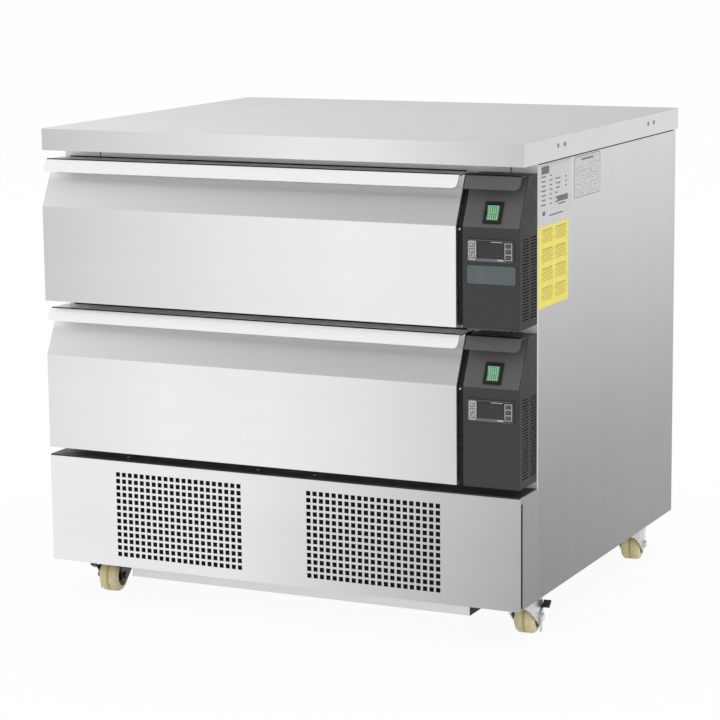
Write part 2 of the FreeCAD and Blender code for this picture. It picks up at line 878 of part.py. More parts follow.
def build_fan():
    """The shroud and motor behind the condenser, and the blades that turn on its shaft."""
    half = f"{shroud_side} / 2"
    shroud = Piece("fan_shroud", place=fan_centre())
    square = rect(f"-({half})", half, f"-{coil_height} / 2", half)
    shroud.pad("y", "0", shroud_deep, square, circle("0", "0", shroud_bore))
    strut_low = f"{shroud_deep} - {strut_deep}"
    half_strut = f"{strut_width} / 2"
    reach = f"{shroud_bore} + {shroud_wall} / 2"
    strut = rect(f"-({reach})", reach, f"-({half_strut})", half_strut)
    shroud.pad("y", strut_low, shroud_deep, strut)
    shroud.pad("y", strut_low, f"{strut_low} + {motor_deep}", circle("0", "0", motor_radius))
    bore = circle("0", "0", f"{shaft_radius} + {shaft_fit}")
    shroud.pocket("y", strut_low, f"{strut_low} + {shaft_length}", bore)
    keep(shroud.body)

    blades = Piece("fan_blades", place=fan_centre())
    hub_back = f"{strut_low} - {fan_gap}"
    hub_front = f"{hub_back} - {hub_deep}"
    shaft_back = f"{strut_low} + {shaft_length} - {fan_gap}"
    blades.pad("y", hub_back, shaft_back, circle("0", "0", shaft_radius))
    blades.pad("y", hub_front, hub_back, circle("0", "0", hub_radius))
    blade_mid = f"({hub_back} - {hub_deep} / 2)"
    tilted = [
        (f"-{blade_width} / 2", f"{blade_mid} - {blade_deep} / 2"),
        (f"{blade_width} / 2", f"{blade_mid} + {blade_deep} / 2 - {blade_gauge}"),
        (f"{blade_width} / 2", f"{blade_mid} + {blade_deep} / 2"),
        (f"-{blade_width} / 2", f"{blade_mid} - {blade_deep} / 2 + {blade_gauge}"),
    ]
    one = blades.pad("z", blade_root, blade_radius, tilted)
    blades.ring(one, "y", blade_count)
    keep(blades.body)


def build_evaporators():
    coolers = []
    middle = f"({x_cavity_left} + {x_cavity_right}) / 2"
    back = f"{y_cavity} - {liner_gauge}"
    for name, level in LEVELS:
        low = f"{level} + {cavity_rise} + {cooler_rise}"
        coolers.append(
            box(
                f"evaporator_{name}",
                f"{middle} - {cooler_width} / 2",
                f"{middle} + {cooler_width} / 2",
                f"{back} - {cooler_deep}",
                back,
                low,
                f"{low} + {cooler_height}",
            )
        )
    group("evaporators", coolers)


# Drawers


def slope_at(rise):
    """How far the sloping face lies behind the vertical one, at a height above the bottom."""
    return f"(({rise}) - {bend_height}) * {slope_run} / ({drawer_height} - {bend_height})"


def face_outline(level, back, inset="0"):
    """The drawer front from the side: a vertical face, a slope and a flat top."""
    top = f"{drawer_height} - {inset}"
    front = f"{y_front} + {inset}"
    return [
        (front, f"{level} + {inset}"),
        (front, f"{level} + {bend_height}"),
        (f"{front} + {slope_at(top)}", f"{level} + {top}"),
        (back, f"{level} + {top}"),
        (back, f"{level} + {inset}"),
    ]


def lip_outline(level, thick):
    """The folded grip: a flange level with the top, and a flap that hangs before the slope."""
    top = f"{level} + {drawer_height}"
    low = f"{top} - {lip_drop}"
    toe = f"{y_front} + {lip_front}"
    inside_top = f"{toe} + {thick} + {lip_run} * ({lip_drop} - {thick}) / {lip_drop}"
    return [
        (toe, low),
        (f"{toe} + {lip_run}", top),
        (f"{y_front} + {slope_run}", top),
        (f"{y_front} + {slope_at(f'{drawer_height} - {thick}')}", f"{top} - {thick}"),
        (inside_top, f"{top} - {thick}"),
        (f"{toe} + {thick}", low),
    ]


def round_lip(piece, level, *corners):
    """Rounds the flap's lower corners, given as an end and the way inward from it."""
    low = f"{level} + {drawer_height} - {lip_drop}"
    rounds = [
        {"corner": (end, low), "inward": (way, 1), "radius": lip_round} for end, way in corners
    ]
    piece.pocket("y", y_front, f"{y_front} + {slope_run}", *rounds)


def build_drawer_front(name, level):
    skin = Piece(f"drawer_front_{name}")
    skin.pad("x", x_left, x_drawer, face_outline(level, y_seal))
    inside = face_outline(level, y_seal, inset=gauge)
    skin.pocket("x", x_inner_left, f"{x_drawer} - {gauge}", inside)
    floor = f"{drawer_height} - {recess_drop}"
    shelf = f"{floor} - {gauge}"
    back = f"{y_front} + {recess_back}"
    roof = f"{drawer_height} - {gauge}"
    shell = [
        (f"{y_front} + {slope_at(shelf)}", f"{level} + {shelf}"),
        (f"{back} + {gauge}", f"{level} + {shelf}"),
        (f"{back} + {gauge}", f"{level} + {drawer_height}"),
        (f"{y_front} + {slope_run}", f"{level} + {drawer_height}"),
    ]
    left = f"{x_left} + {recess_end}"
    right = f"{x_drawer} - {recess_end}"
    skin.pad("x", f"{left} - {gauge}", f"{right} + {gauge}", shell)
    hollow = [
        (y_front, f"{level} + {floor}"),
        (back, f"{level} + {floor}"),
        (back, f"{level} + {roof}"),
        (y_front, f"{level} + {roof}"),
    ]
    skin.pocket("x", left, right, hollow)
    keep(skin.body)

    plug = Piece(f"drawer_inner_{name}")
    plug_top = f"{shelf} - {seat_gap}"
    plug_back = f"{back} + {gauge} + {seat_gap}"
    front = f"{y_front} + {gauge}"
    plug.pad(
        "x",
        x_inner_left,
        f"{x_drawer} - {gauge}",
        [
            (front, f"{level} + {gauge}"),
            (front, f"{level} + {bend_height}"),
            (f"{front} + {slope_at(plug_top)}", f"{level} + {plug_top}"),
            (plug_back, f"{level} + {plug_top}"),
            (plug_back, f"{level} + {roof}"),
            (y_seal, f"{level} + {roof}"),
            (y_seal, f"{level} + {gauge}"),
        ],
    )
    keep(plug.body)


def build_handle(name, level):
    lip = Piece(f"handle_lip_{name}")
    lip.pad("x", x_left, x_drawer, lip_outline(level, lip_gauge))
    round_lip(lip, level, (x_left, 1), (x_drawer, -1))
    keep(lip.body)


def build_gasket(name, level):
    ring = Piece(f"drawer_gasket_{name}")
    low = f"{level} + {cavity_rise}"
    outer = rect(
        f"{x_left} + {seal_inset}",
        f"{x_drawer} - {seal_inset}",
        f"{level} + {seal_under}",
        f"{level} + {drawer_height}",
    )
    inner = rect(
        f"{x_cavity_left} - {seal_lap}",
        f"{x_cavity_right} + {seal_lap}",
        f"{low} - {seal_lap}",
        f"{low} + {cavity_height} + {seal_lap}",
    )
    ring.pad("y", y_seal, f"{y_frame} - {seat_gap}", outer, inner)
    keep(ring.body)


def build_tub(name, level):
    low = f"{level} + {cavity_rise} + {tub_rise}"
    high = f"{low} + {tub_height}"
    back = y_tub_back
    tub = Piece(f"drawer_tub_{name}")
    tub.pad("z", low, high, rect(x_tub_left, x_tub_right, y_seal, back))
    rim_left = f"{x_tub_left} - {tub_rim}"
    rim_right = f"{x_tub_right} + {tub_rim}"
    rim = rect(rim_left, rim_right, y_foam, f"{back} + {tub_rim}")
    tub.pad("z", f"{high} - {tub_gauge}", high, rim)
    inside = rect(
        f"{x_tub_left} + {tub_gauge}",
        f"{x_tub_right} - {tub_gauge}",
        f"{y_seal} + {tub_gauge}",
        f"{back} - {tub_gauge}",
    )
    tub.pocket("z", f"{low} + {tub_gauge}", high, inside)
    keep(tub.body)


def channel(name, wall, way, web_start, reach, height, web_at_tub, middle):
    """One runner member on one side: a web with two flanges, along the drawer's travel.

    wall is the liner's inner face and way is +1 or -1 towards the tub. The web stands at
    web_start from the wall, or at the tub's side, and its flanges run to the other end.
    """

    def across(distance):
        return f"{wall} + ({way}) * ({distance})"

    low = f"{middle} - {height} / 2"
    high = f"{middle} + {height} / 2"
    if web_at_tub:
        web, inside, tip = reach, f"{reach} - {runner_gauge}", web_start
    else:
        web, inside, tip = web_start, f"{web_start} + {runner_gauge}", reach
    outline = [
        (across(web), low),
        (across(tip), low),
        (across(tip), f"{low} + {runner_gauge}"),
        (across(inside), f"{low} + {runner_gauge}"),
        (across(inside), f"{high} - {runner_gauge}"),
        (across(tip), f"{high} - {runner_gauge}"),
        (across(tip), high),
        (across(web), high),
    ]
    member = Piece(name)
    start = f"{y_foam} + {runner_setback}"
    end = f"{y_tub_back} + {tub_rim} - {runner_back}"
    member.pad("y", start, end, outline)
    return member.body


def build_runners():
    """Three nested members on each side of each drawer: on the liner, between, on the tub."""
    step = f"2 * ({runner_gauge} + {runner_slack})"
    middle_height = f"({runner_height} - {step})"
    inner_height = f"({middle_height} - {step})"
    sides = (
        ("left", f"{x_cavity_left} + {liner_gauge}", 1),
        ("right", f"{x_cavity_right} - {liner_gauge}", -1),
    )
    outer = []
    for name, level in LEVELS:
        centre = f"{level} + {cavity_rise} + {tub_rise} + {runner_rise}"
        between = []
        inner = []
        for side, wall, way in sides:
            tag = f"{name}_{side}"
            outer.append(
                channel(f"outer_{tag}", wall, way, "0", outer_reach, runner_height, False, centre)
            )
            start, reach = middle_start, middle_reach
            between.append(
                channel(f"middle_{tag}", wall, way, start, reach, middle_height, False, centre)
            )
            start, reach = inner_start, runner_width
            inner.append(
                channel(f"inner_{tag}", wall, way, start, reach, inner_height, True, centre)
            )
        group(f"runner_middle_{name}", between)
        group(f"runner_inner_{name}", inner)
    group("runner_outers", outer)


# Control boxes


def build_control_cover(name, level):
    back = f"{y_frame} - {seat_gap}"
    cover = Piece(f"control_cover_{name}")
    lip_right = f"{x_right} - {cover_lip_end}"
    cover.pad("x", x_control, lip_right, lip_outline(level, cover_gauge))
    round_lip(cover, level, (lip_right, -1))
    cover.pad("x", x_control, x_right, face_outline(level, back))
    inside = face_outline(level, back, inset=cover_gauge)
    cover.pocket("x", f"{x_control} + {cover_gauge}", f"{x_right} - {cover_gauge}", inside)
    vent_low = f"{level} + {vent_first}"
    slots = []
    for start in (vent_front, vent_rear):
        low = f"{y_front} + {start}"
        slots.append(rect(low, f"{low} + {vent_width}", vent_low, f"{vent_low} + {vent_height}"))
    first = cover.pocket("x", f"{x_right} - {cover_gauge}", x_right, *slots)
    room = f"{bend_height} - {vent_first} - {vent_top}"
    cover.repeat(first, "z", vent_pitch, how_many(room, vent_pitch))
    meter_left = f"{x_right} - {bezel_side} - {bezel_width} + {bezel_lap}"
    meter_right = f"{x_right} - {bezel_side} - {bezel_lap}"
    meter_low = f"{level} + {bezel_rise} + {bezel_lap}"
    meter_high = f"{level} + {bezel_rise} + {bezel_height} - {bezel_lap}"
    meter = rect(meter_left, meter_right, meter_low, meter_high)
    cover.pocket("y", y_front, f"{y_front} + {cover_gauge}", meter)
    centre = f"{x_right} - {switch_side}"
    half_wide = f"({switch_width} / 2 - {switch_lap})"
    half_tall = f"({switch_tall} / 2 - {switch_lap} + {switch_room})"
    hole = rect(
        f"{centre} - {half_wide}",
        f"{centre} + {half_wide}",
        f"{level} + {switch_rise} - {half_tall}",
        f"{level} + {switch_rise} + {half_tall}",
    )
    behind = f"{y_front} + {slope_at(f'{switch_rise} + {half_tall}')} + 2 * {cover_gauge}"
    cover.pocket("y", y_front, behind, hole)
    keep(cover.body)


def build_side_strips():
    """The black strip that closes the gap between a control box and its drawer."""
    strips = []
    for name, level in LEVELS:
        strip = Piece(f"strip_{name}")
        outline = face_outline(level, f"{y_frame} - {seat_gap}", inset=strip_setback)
        strip.pad("x", f"{x_control} - {strip_width}", x_control, outline)
        strips.append(strip.body)
    group("control_side_strips", strips)


def key_place(name_level, number):
    """The lower left corner of one key, counted from the bottom."""
    x = f"{x_right} - {bezel_side} - {key_side} - {key_width}"
    z = f"{name_level} + {bezel_rise} + {key_first} + {key_pitch} * {number}"
    return x, z


def build_controller(name, level):
    left = f"{x_right} - {bezel_side} - {bezel_width}"
    right = f"{x_right} - {bezel_side}"
    low = f"{level} + {bezel_rise}"
    high = f"{low} + {bezel_height}"
    front = f"{y_front} - {bezel_proud}"
    meter = Piece(f"controller_{name}")
    meter.pad("y", front, y_front, rect(left, right, low, high))
    lap = f"{bezel_lap} + {seat_gap}"
    body = rect(f"{left} + {lap}", f"{right} - ({lap})", f"{low} + {lap}", f"{high} - ({lap})")
    meter.pad("y", y_front, f"{y_front} + {meter_depth}", body)
    screen_left = f"{left} + {screen_side}"
    screen_low = f"{low} + ({bezel_height} - {screen_height}) / 2"
    screen_right = f"{screen_left} + {screen_width}"
    screen = rect(screen_left, screen_right, screen_low, f"{screen_low} + {screen_height}")
    meter.pocket("y", front, f"{front} + {screen_deep}", screen)
    wells = []
    for number in range(key_count):
        x, z = key_place(level, number)
        wells.append(
            rect(
                f"{x} - {key_slack}",
                f"{x} + {key_width} + {key_slack}",
                f"{z} - {key_slack}",
                f"{z} + {key_height} + {key_slack}",
            )
        )
    meter.pocket("y", front, f"{front} + {key_well}", *wells)
    keep(meter.body)
    for number in range(key_count):
        x, z = key_place(level, number)
        key = Piece(f"key_{name}_{number + 1}")
        face = rect(x, f"{x} + {key_width}", z, f"{z} + {key_height}")
        key.pad("y", f"{front} - {key_proud}", f"{y_front} - {key_back}", face)
        keep(key.body)


def switch_place(level):
    return (
        f"{x_right} - {switch_side}",
        f"{y_front} + {slope_at(switch_rise)}",
        f"{level} + {switch_rise}",
    )


SLOPE_TURN = f"-atan({slope_run} / ({drawer_height} - {bend_height}))"


def build_switches():
    """A bezel and case let into each slope, and the rocker that tips in it."""
    cases = []
    hole_x = f"({rocker_half_width} + {rocker_side_gap})"
    hole_z = f"({rocker_half_tall} + {rocker_end_gap})"
    opening = rect(f"-{hole_x}", hole_x, f"-{hole_z}", hole_z)
    case_x = f"({switch_width} / 2 - {switch_lap} - {seat_gap})"
    case_z = f"({switch_tall} / 2 - {switch_lap} - {seat_gap})"
    for name, level in LEVELS:
        place = switch_place(level)
        case = Piece(f"switch_case_{name}", place=place, turn=((1, 0, 0), SLOPE_TURN))
        half_width = f"{switch_width} / 2"
        half_tall = f"{switch_tall} / 2"
        bezel = rect(f"-{half_width}", half_width, f"-{half_tall}", half_tall)
        case.pad("y", f"-{switch_proud}", "0", bezel)
        case.pad("y", "0", switch_deep, rect(f"-{case_x}", case_x, f"-{case_z}", case_z))
        case.pocket("y", f"-{switch_proud}", f"{switch_deep} - {cover_gauge}", opening)
        pin_hole = circle(rocker_pivot, "0", f"{rocker_pin} + {rocker_pin_fit}")
        pin_end = f"({rocker_pin_end} + {seat_gap})"
        case.pocket("x", f"-{pin_end}", pin_end, pin_hole)
        cases.append(case.body)

        tilt = f"{SLOPE_TURN} + {rocker_tilt} * 1 deg"
        x, y, z = place
        pivot_y = f"{y} + {rocker_pivot} * cos({SLOPE_TURN})"
        pivot_z = f"{z} + {rocker_pivot} * sin({SLOPE_TURN})"
        rocker = Piece(f"rocker_{name}", place=(x, pivot_y, pivot_z), turn=((1, 0, 0), tilt))
        face = f"-({rocker_proud} + {rocker_pivot})"
        dip = f"{face} + {rocker_dip}"
        back = f"{rocker_back} - {rocker_pivot}"
        outline = [
            (face, rocker_half_tall),
            (dip, "0"),
            (face, f"-{rocker_half_tall}"),
            (back, f"-{rocker_half_tall}"),
            (back, rocker_half_tall),
        ]
        rocker.pad("x", f"-{rocker_half_width}", rocker_half_width, outline)
        rocker.pad("x", f"-{rocker_pin_end}", rocker_pin_end, circle("0", "0", rocker_pin))
        keep(rocker.body)
    group("switch_cases", cases)


# Castors

CASTORS = (
    ("front_left", f"({x_left} + {castor_left})", f"({y_front} + {castor_front})", 186, True),
    ("front_right", f"({x_right} - {castor_right})", f"({y_front} + {castor_front})", 6, True),
    ("rear_left", f"({x_left} + {castor_left})", f"({y_back} - {castor_back})", 12, False),
    ("rear_right", f"({x_right} - {castor_right})", f"({y_back} - {castor_back})", 8, False),
)
UP = (0, 0, 1)

# Distances from the middle of a wheel, along its bolt
cheek_in = f"({wheel_width} / 2 + {fork_side_gap})"
cheek_out = f"({cheek_in} + {fork_gauge})"
lever_in = f"({cheek_out} + {seat_gap})"
lever_out = f"({lever_in} + {lever_gauge})"


def is_round(edge):
    return edge.Curve.TypeId == "Part::GeomCircle"


def build_fork(name, x, y, turn, braked):
    """The stamped fork: a crown, two cheeks and a skirt in front, and the bolt through it."""
    far = f"({castor_trail} + {crown_half})"
    near_end = f"-{crown_half}"
    skirt_low = f"({wheel_radius} + {skirt_over_axle})"
    foot_low = f"({wheel_radius} - {cheek_foot})"
    fork = Piece(f"fork_{name}", place=(x, y, "0"), turn=turn)
    fork.pad("z", z_crown, z_fork, rect(f"-{cheek_out}", cheek_out, near_end, far))
    fork.pad("z", z_fork, z_head, circle("0", "0", head_radius))
    cheek = [
        (near_end, z_fork),
        (near_end, skirt_low),
        (f"{castor_trail} - {cheek_foot}", foot_low),
        (f"{castor_trail} + {cheek_foot}", foot_low),
        (far, z_fork),
    ]
    fork.pad("x", cheek_in, cheek_out, cheek)
    fork.pad("x", f"-{cheek_out}", f"-{cheek_in}", cheek)
    skirt_back = f"{near_end} + {fork_gauge}"
    skirt = rect(f"-{cheek_out}", cheek_out, skirt_low, z_fork)
    fork.pad("y", near_end, skirt_back, skirt)
    arch = circle("0", f"{skirt_low} + {skirt_arch} - {skirt_curve}", skirt_curve)
    fork.pocket("y", near_end, skirt_back, arch)
    bolt_hole = circle(castor_trail, wheel_radius, axle_radius)
    fork.pocket("x", f"-{cheek_out}", cheek_out, bolt_hole)
    king = circle("0", "0", f"{king_radius} + {axle_fit}")
    fork.pocket("z", f"{z_crown} + {king_tip}", z_head, king)

    head_start = f"({lever_out} + {seat_gap})" if braked else cheek_out
    bolt = Piece(f"bolt_{name}", place=(x, y, "0"), turn=turn)
    bolt.pad("x", f"-{cheek_out}", head_start, circle(castor_trail, wheel_radius, axle_radius))
    end = circle(castor_trail, wheel_radius, bolt_radius)
    bolt.pad("x", head_start, f"{head_start} + {bolt_head}", end)
    bolt.pad("x", f"-({cheek_out} + {bolt_head})", f"-{cheek_out}", end)
    group(f"castor_fork_{name}", [fork.body, bolt.body])


def build_wheel(name, place, turn):
    wheel = Piece(f"castor_wheel_{name}", place=place, turn=turn)
    half = f"({wheel_width} / 2)"
    wheel.pad("x", f"-{half}", half, circle("0", "0", wheel_radius))
    wheel.round(wheel_round, is_round)
    hub = circle("0", "0", wheel_hub)
    wheel.pocket("x", f"{half} - {wheel_dish}", half, hub)
    wheel.pocket("x", f"-{half}", f"-{half} + {wheel_dish}", hub)
    bore = circle("0", "0", f"{axle_radius} + {axle_fit}")
    wheel.pocket("x", f"-{half}", half, bore)
    keep(wheel.body)


def build_lever(name, place, turn):
    """The brake lever: a plate that turns on the bolt, with a foot pad above and a tab below."""
    lever = Piece(f"brake_pedal_{name}", place=place, turn=turn)
    lever.pad("x", lever_in, lever_out, circle("0", "0", lever_ring))
    foot_high = f"({foot_rise} + {foot_climb})"
    arm = [
        (f"-{lever_arm}", lever_arm),
        (lever_arm, f"-{lever_arm}"),
        (foot_far, foot_high),
        (foot_near, f"{foot_rise} + {foot_thick}"),
    ]
    lever.pad("x", lever_in, lever_out, arm)
    foot = [
        (foot_near, foot_rise),
        (foot_far, foot_high),
        (foot_far, f"{foot_high} + {foot_thick}"),
        (foot_near, f"{foot_rise} + {foot_thick}"),
    ]
    lever.pad("x", lever_in, f"{lever_in} + {foot_across}", foot)
    tab_low = f"-({wheel_radius} - {tab_clear})"
    lever.pad("x", lever_in, lever_out, rect(f"-{tab_half}", tab_half, tab_low, "0"))
    bore = circle("0", "0", f"{axle_radius} + {axle_fit}")
    lever.pocket("x", lever_in, lever_out, bore)
    keep(lever.body)


def build_castors():
    plates = []
    half_wide, half_long = plate_half_width, plate_half_length
    for name, x, y, turned, braked in CASTORS:
        turn = (UP, str(turned))
        wheel_x = f"{x} - {castor_trail} * sin({turned})"
        wheel_y = f"{y} + {castor_trail} * cos({turned})"
        axle = (wheel_x, wheel_y, wheel_radius)
        build_fork(name, x, y, turn, braked)
        build_wheel(name, axle, turn)
        if braked:
            build_lever(name, axle, turn)
        plate = Piece(f"plate_{name}", place=(x, y, "0"))
        plate.pad("z", z_plate, z_floor, rect(f"-{half_wide}", half_wide, f"-{half_long}", half_long))
        tip = f"{z_crown} + {king_tip} + {seat_gap}"
        plate.pad("z", tip, z_plate, circle("0", "0", king_radius))
        plates.append(plate.body)
    group("castor_plates", plates)


# Fasteners


def build_fasteners():
    """Rivets in the worktop's edges, screws in the black ledge and in the side strips."""
    pieces = []
    edge = f"({x_right} + {top_overhang})"
    rivet_z = f"{z_under} + {rivet_rise}"
    first = f"{y_front} + {rivet_front}"
    last = f"{y_back} - {rivet_back}"
    places = (first, f"{first} + {rivet_pitch}", f"{last} - {rivet_pitch}", last)
    for number, y in enumerate(places, 1):
        for side, x, way in (("right", edge, 1), ("left", f"-{edge}", -1)):
            label = f"rivet_{side}_{number}"
            pieces.append(rod(label, rivet_radius, rivet_proud, x, y, rivet_z, (way, 0, 0)))
    ledge_y = f"{y_front} + {ledge_screw_back}"
    across = (ledge_screw_first, ledge_screw_second, ledge_screw_third)
    for number, distance in enumerate(across, 1):
        x = f"{x_left} + {distance}"
        label = f"ledge_screw_{number}"
        pieces.append(rod(label, screw_radius, screw_proud, x, ledge_y, z_base, UP))
    strip_x = f"{x_control} - {strip_screw_side}"
    strip_y = f"{y_front} + {strip_setback}"
    rises = (strip_screw_low, strip_screw_middle, f"{bend_height} - {strip_screw_under}")
    for name, level in LEVELS:
        for number, rise in enumerate(rises, 1):
            z = f"{level} + {rise}"
            label = f"strip_screw_{name}_{number}"
            pieces.append(
                rod(label, strip_screw_radius, screw_proud, strip_x, strip_y, z, (0, -1, 0))
            )
    group("trim_screws", pieces)


build_worktop()
build_side_panels()
build_back_panel()
build_gland()
build_front_frame()
build_insulation()
build_liners()
build_grille_panel()
build_base()
build_compressor()
build_condenser()
build_fan()
build_evaporators()
for drawer, bottom in LEVELS:
    build_drawer_front(drawer, bottom)
    build_handle(drawer, bottom)
    build_gasket(drawer, bottom)
    build_tub(drawer, bottom)
build_runners()
for box_name, bottom in LEVELS:
    build_control_cover(box_name, bottom)
    build_controller(box_name, bottom)
build_side_strips()
build_switches()
build_castors()
build_fasteners()
doc.recompute()

# Every object is sound before anything is written

for item in doc.Objects:
    bad = {"Invalid", "Error"} & set(item.State)
    if bad:
        raise ValueError(f"{item.Label} is {bad}")
for item in nodes:
    if item.Shape.isNull() or not item.Shape.isValid():
        raise ValueError(f"{item.Label} has no valid shape")
os.makedirs("parts", exist_ok=True)
for item in nodes:
    item.Shape.exportStep(f"parts/{item.Label}.step")
print(len(nodes), "sub-parts")
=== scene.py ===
import json
import math
import random

import bmesh
import bpy
from mathutils import Matrix, Vector


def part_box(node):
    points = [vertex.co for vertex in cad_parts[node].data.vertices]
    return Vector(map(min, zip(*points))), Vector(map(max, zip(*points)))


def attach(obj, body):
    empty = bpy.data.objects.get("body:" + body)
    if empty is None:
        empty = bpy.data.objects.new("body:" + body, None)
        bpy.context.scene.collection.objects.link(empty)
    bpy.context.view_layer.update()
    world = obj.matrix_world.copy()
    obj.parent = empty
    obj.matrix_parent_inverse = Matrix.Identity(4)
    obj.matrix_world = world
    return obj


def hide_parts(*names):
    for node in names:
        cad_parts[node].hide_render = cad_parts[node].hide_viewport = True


# The looks of a stainless counter fridge freezer. Metres, in the row frame: +X is the
# right side of a person who faces the drawers, -Y is the front and +Z is up.

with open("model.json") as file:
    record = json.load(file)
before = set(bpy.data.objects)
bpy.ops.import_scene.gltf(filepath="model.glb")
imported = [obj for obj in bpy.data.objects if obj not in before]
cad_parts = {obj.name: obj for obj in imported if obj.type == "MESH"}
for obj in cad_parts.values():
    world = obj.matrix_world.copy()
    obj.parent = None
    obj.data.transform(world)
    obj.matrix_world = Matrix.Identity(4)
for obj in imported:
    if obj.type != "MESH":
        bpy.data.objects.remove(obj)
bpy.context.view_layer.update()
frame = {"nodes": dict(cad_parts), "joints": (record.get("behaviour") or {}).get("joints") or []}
nodes = frame["nodes"]
joints = {joint["name"]: joint for joint in frame["joints"]}

DRAWERS = ("upper", "lower")
CASTORS = ("front_left", "front_right", "rear_left", "rear_right")

# The faces that the pieces are placed from, read from the CAD nodes


def low(node):
    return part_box(node)[0]


def high(node):
    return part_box(node)[1]


FRONT = low("base_grille_panel").y
RIGHT = high("side_panel_right").x
LEFT = low("side_panel_left").x
BACK = high("back_panel").y
SKIRT = low("side_panel_right").z
LEDGE = high("base_grille_panel").z
FRAME = low("front_frame").y
UNDER = low("worktop").z
COVER_LEFT = low("control_cover_upper").x
AXLE = high("castor_wheel_front_left").z / 2

# The places between which tones run across the worktop, and where the drawer fronts end

TOP_LEFT, TOP_RIGHT = -0.45, 0.45
FACE_END = 0.335


# Material helpers


class Finish:
    """A material with one Principled shader, and short ways to add nodes to it."""

    def __init__(self, name, colour, rough, metallic=0.0, **sockets):
        self.mat = bpy.data.materials.new(name)
        self.mat.use_nodes = True
        self.tree = self.mat.node_tree
        self.shader = next(n for n in self.tree.nodes if n.type == "BSDF_PRINCIPLED")
        self.set("Base Color", (*colour, 1.0))
        self.set("Roughness", rough)
        self.set("Metallic", metallic)
        for socket, value in sockets.items():
            self.set(socket.replace("_", " ").title().replace("Ior", "IOR"), value)

    def set(self, socket, value):
        self.shader.inputs[socket].default_value = value

    def add(self, kind, **fields):
        node = self.tree.nodes.new(kind)
        for field, value in fields.items():
            setattr(node, field, value)
        return node

    def link(self, source, target):
        self.tree.links.new(source, target)

    def place(self, scale=(1, 1, 1)):
        """Object coordinates, which are the row frame's, scaled along each axis."""
        coords = self.add("ShaderNodeTexCoord")
        mapping = self.add("ShaderNodeMapping")
        mapping.inputs["Scale"].default_value = scale
        self.link(coords.outputs["Object"], mapping.inputs["Vector"])
        return mapping.outputs["Vector"]

    def noise(self, scale, detail=3.0, rough=0.5, stretch=(1, 1, 1)):
        noise = self.add("ShaderNodeTexNoise")
        noise.inputs["Scale"].default_value = scale
        noise.inputs["Detail"].default_value = detail
        noise.inputs["Roughness"].default_value = rough
        self.link(self.place(stretch), noise.inputs["Vector"])
        return noise.outputs["Fac"]

    def split(self, axis):
        """The place along one axis of the row frame."""
        split = self.add("ShaderNodeSeparateXYZ")
        self.link(self.place(), split.inputs["Vector"])
        return split.outputs[axis]

    def along(self, axis, start, end):
        """0 at start and 1 at end along one axis of the row frame."""
        return self.remap(self.split(axis), start, end)

    def facing(self, axis):
        """How far the surface faces along one axis, from -1 to 1."""
        coords = self.add("ShaderNodeTexCoord")
        split = self.add("ShaderNodeSeparateXYZ")
        self.link(coords.outputs["Normal"], split.inputs["Vector"])
        return split.outputs[axis]

    def remap(self, value, from_low, from_high, to_low=0.0, to_high=1.0):
        node = self.add("ShaderNodeMapRange")
        self.link(value, node.inputs["Value"])
        node.inputs["From Min"].default_value = from_low
        node.inputs["From Max"].default_value = from_high
        node.inputs["To Min"].default_value = to_low
        node.inputs["To Max"].default_value = to_high
        return node.outputs["Result"]

    def ramp(self, value, *stops):
        """A ramp of colours; each stop is a place and a colour."""
        node = self.add("ShaderNodeValToRGB")
        self.link(value, node.inputs["Fac"])
        elements = node.color_ramp.elements
        while len(elements) < len(stops):
            elements.new(0.5)
        for element, (where, colour) in zip(elements, stops):
            element.position = where
            element.color = (*colour, 1.0)
        return node.outputs["Color"]

    def greys(self, value, *stops):
        """A ramp of greys; each stop is a place and a level."""
        return self.ramp(value, *((where, grey(level)) for where, level in stops))

    def feed(self, node, pairs):
        """Gives each socket of a node its value, which is a socket, a colour or a number."""
        for number, value in pairs:
            socket = node.inputs[number]
            if isinstance(value, bpy.types.NodeSocket):
                self.link(value, socket)
            elif isinstance(value, tuple):
                socket.default_value = (*value, 1.0)
            else:
                socket.default_value = value

    def mix(self, factor, first, second, blend="MIX"):
        """Mixes two colours; each is a socket or a colour, and the factor a socket or a number."""
        node = self.add("ShaderNodeMix", data_type="RGBA", blend_type=blend)
        self.feed(node, ((0, factor), (6, first), (7, second)))
        return node.outputs[2]

    def math(self, operation, first, second):
        node = self.add("ShaderNodeMath", operation=operation)
        self.feed(node, ((0, first), (1, second)))
        return node.outputs[0]

    def colour(self, socket):
        self.link(socket, self.shader.inputs["Base Color"])

    def metallic(self, socket):
        self.link(socket, self.shader.inputs["Metallic"])

    def rough(self, value, rough_low, rough_high):
        """Spreads the roughness between two limits by a noise's usual range."""
        self.link(self.remap(value, 0.3, 0.7, rough_low, rough_high), self.shader.inputs["Roughness"])

    def bump(self, height, strength, distance):
        node = self.add("ShaderNodeBump")
        node.inputs["Strength"].default_value = strength
        node.inputs["Distance"].default_value = distance
        self.link(height, node.inputs["Height"])
        self.link(node.outputs["Normal"], self.shader.inputs["Normal"])


def grey(level):
    return (level, level, level)


def stretched(across, along, grain):
    """Noise scales that draw a pattern out along one axis."""
    scales = [across, across, across]
    scales["xyz".index(grain)] = along
    return scales


